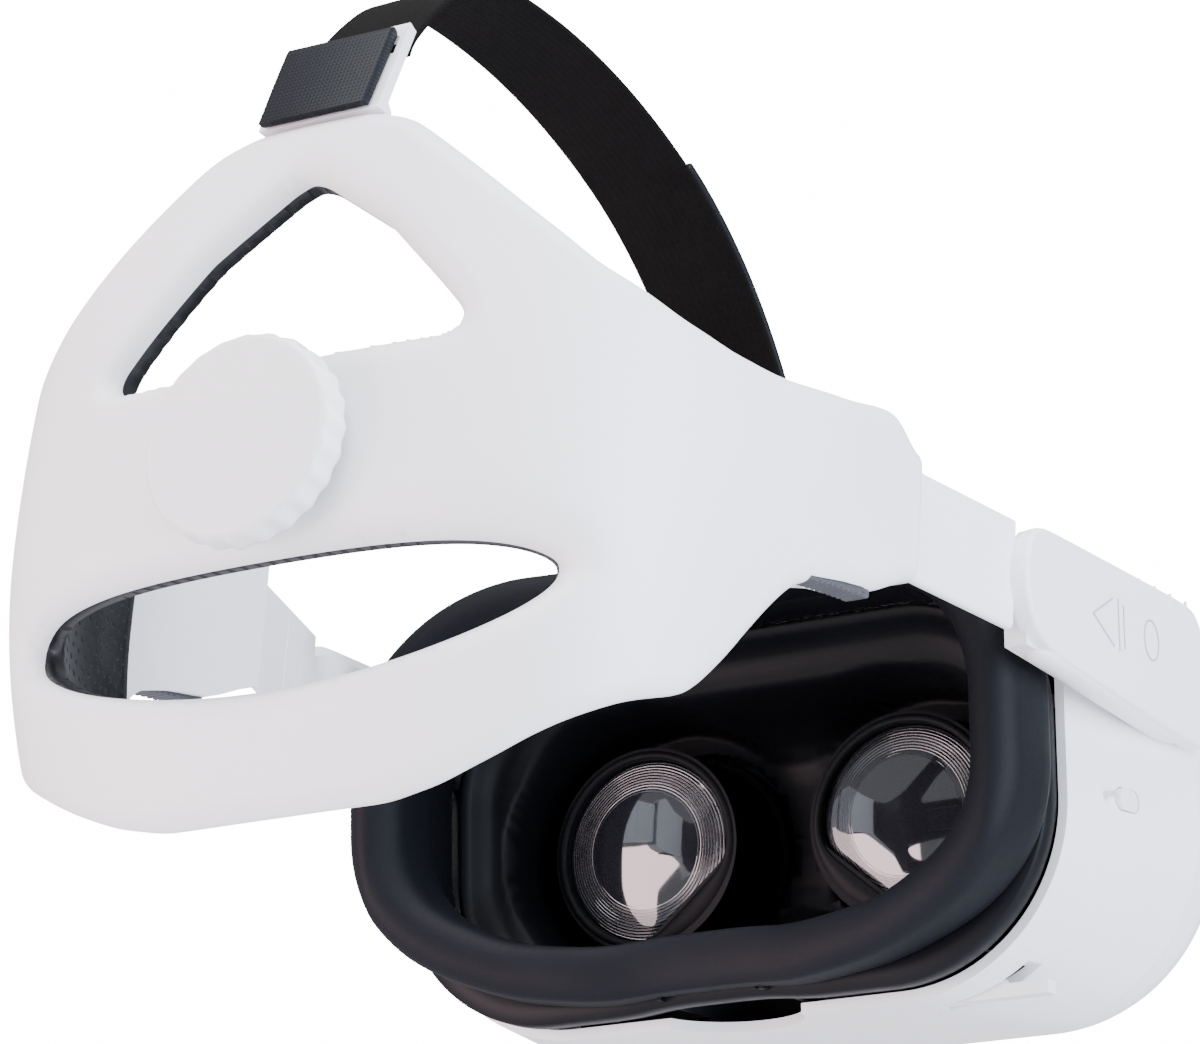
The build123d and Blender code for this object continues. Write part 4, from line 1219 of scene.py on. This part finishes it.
def band_shape(line, width, thick, offset=0.0, crown=0.25):
    """Flat webbing with rolled edges along a line in Y and Z."""
    half = width / 2
    across = np.linspace(-half + 0.7, half - 0.7, 15)
    section = [(x, thick / 2 + crown * (1 - (x / half) ** 2)) for x in across]
    section += [(half - 0.2, thick * 0.36), (half, 0.0), (half - 0.2, -thick * 0.36)]
    section += [(x, -thick / 2) for x in across[::-1]]
    section += [(-half + 0.2, -thick * 0.36), (-half, 0.0), (-half + 0.2, thick * 0.36)]
    rings = []
    for point, normal in zip(line, across_of(np.gradient(line, axis=0))):
        rings.append([(x, *(point + normal * (offset + height))) for x, height in section])
    return skin(rings)


WEBBING = webbing()
TAB = tab_weave()
RUNS = strap_line()
STRAP_W = 26
STRAP_T = 1.6
front_line = np.vstack([RUNS[0], RUNS[1][1:]])
rear_line = np.vstack([RUNS[2], RUNS[3][1:], RUNS[4][1:]])
front_strap = add_piece("front_webbing", *band_shape(front_line, STRAP_W, STRAP_T), WEBBING, sharp=60)
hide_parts("front_top_strap")
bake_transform(front_strap)
rear_strap = add_piece("rear_webbing", *band_shape(rear_line, STRAP_W, STRAP_T), WEBBING, sharp=60)
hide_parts("rear_top_strap")
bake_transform(rear_strap)
front_tab = add_piece("front_tab", *band_shape(RUNS[0][:39], 25.6, 2.2, offset=2.1), TAB, sharp=60)
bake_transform(front_tab)


def extruded(profile, half, edge):
    """Solid of a Y-Z profile across X, with its side edges eased."""
    rings = []
    for x, inset in [(-half, edge), (-half + edge * 0.3, edge * 0.3), (-half + edge, 0)]:
        rings.append(np.insert(inward(profile, inset), 0, x, axis=1))
    rings += [ring * [-1, 1, 1] for ring in rings[::-1]]
    return on_strap(skin(rings))


paint(SHELL_WHITE, "strap_loop", "front_anchor")
TAB_OUTLINE = np.array([
    (193.8, 73.3), (195.0, 72.9), (196.2, 73.3), (192.6, 83.2), (188.9, 92.8), (188.2, 94.2), (187.0, 94.9),
    (186.0, 94.5), (185.4, 93.4), (189.6, 83.4),
])
rear_tab = add_piece("rear_tab", *extruded(TAB_OUTLINE, 12.9, 0.3), TAB, sharp=60)
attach(rear_tab, "cradle")
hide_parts("strap_tab")


# --- Studio ---
# Plain pale floor below the object, an even white surround and soft lights: a warm one from the
# rear left and a cool one from the right.
def studio_world():
    """White where the camera looks past the object, and a weak cool glow on the object itself."""
    world = bpy.data.worlds.new("studio")
    world.use_nodes = True
    tree = world.node_tree
    back = tree.nodes["Background"]
    kinds = ("ShaderNodeBackground", "ShaderNodeLightPath", "ShaderNodeMixShader")
    glow, seen, choice = [tree.nodes.new(kind) for kind in kinds]
    for node, colour, strength in ((back, (1, 1, 1, 1), 16.0), (glow, (0.90, 0.93, 1.0, 1), 0.72)):
        node.inputs["Color"].default_value = colour
        node.inputs["Strength"].default_value = strength
    sources = (seen.outputs["Is Camera Ray"], glow.outputs[0], back.outputs[0])
    for source, slot in zip(sources, choice.inputs):
        tree.links.new(source, slot)
    tree.links.new(choice.outputs[0], tree.nodes["World Output"].inputs["Surface"])
    scene.world = world


MIDDLE = Vector((0.0, 0.07, 0.10))


def soft_light(name, place, size, power, colour):
    lamp = bpy.data.lights.new(name, "AREA")
    lamp.shape = "RECTANGLE"
    lamp.size, lamp.size_y = size
    lamp.energy = power
    lamp.color = colour
    holder = bpy.data.objects.new(name, lamp)
    holder.location = place
    holder.rotation_euler = (MIDDLE - Vector(place)).to_track_quat("-Z", "Y").to_euler()
    scene.collection.objects.link(holder)


studio_world()
soft_light("warm_side", (0.75, 0.95, -0.10), (0.8, 0.9), 30.0, (1.0, 0.76, 0.79))
soft_light("cool_side", (-1.05, 0.25, 0.15), (0.7, 0.9), 27.0, (0.78, 0.87, 1.0))
soft_light("overhead", (-0.2, 0.45, 1.10), (1.2, 1.0), 34.0, (0.97, 0.98, 1.0))

FLOOR_Z = -300
FLOOR_HALF = 3000
corners = [(x * FLOOR_HALF, y * FLOOR_HALF, FLOOR_Z) for x, y in ((-1, -1), (1, -1), (1, 1), (-1, 1))]
floor = new_object("floor", corners, [(0, 1, 2, 3)])
floor.data.materials.append(moulded("studio_floor", (0.82, 0.82, 0.84), (0.79, 0.79, 0.81), 0.8, 30.0))

swing = 0.5289
rise = 0.27825
roll = -0.01102
view = Vector((math.sin(swing) * math.cos(rise), -math.cos(swing) * math.cos(rise), math.sin(rise)))
right = Vector((-math.cos(swing), -math.sin(swing), 0.0))
up = right.cross(view)
across = right * math.cos(roll) + up * math.sin(roll)
upright = up * math.cos(roll) - right * math.sin(roll)
camera_data = bpy.data.cameras.new("camera")
camera_data.sensor_width = 36.0
camera_data.lens = 149.95
camera = bpy.data.objects.new("camera", camera_data)
pose = Matrix((across, upright, -view)).transposed().to_4x4()
pose.translation = (-0.5361, 0.98538, -0.20064)
camera.matrix_world = pose
scene.collection.objects.link(camera)
scene.camera = camera
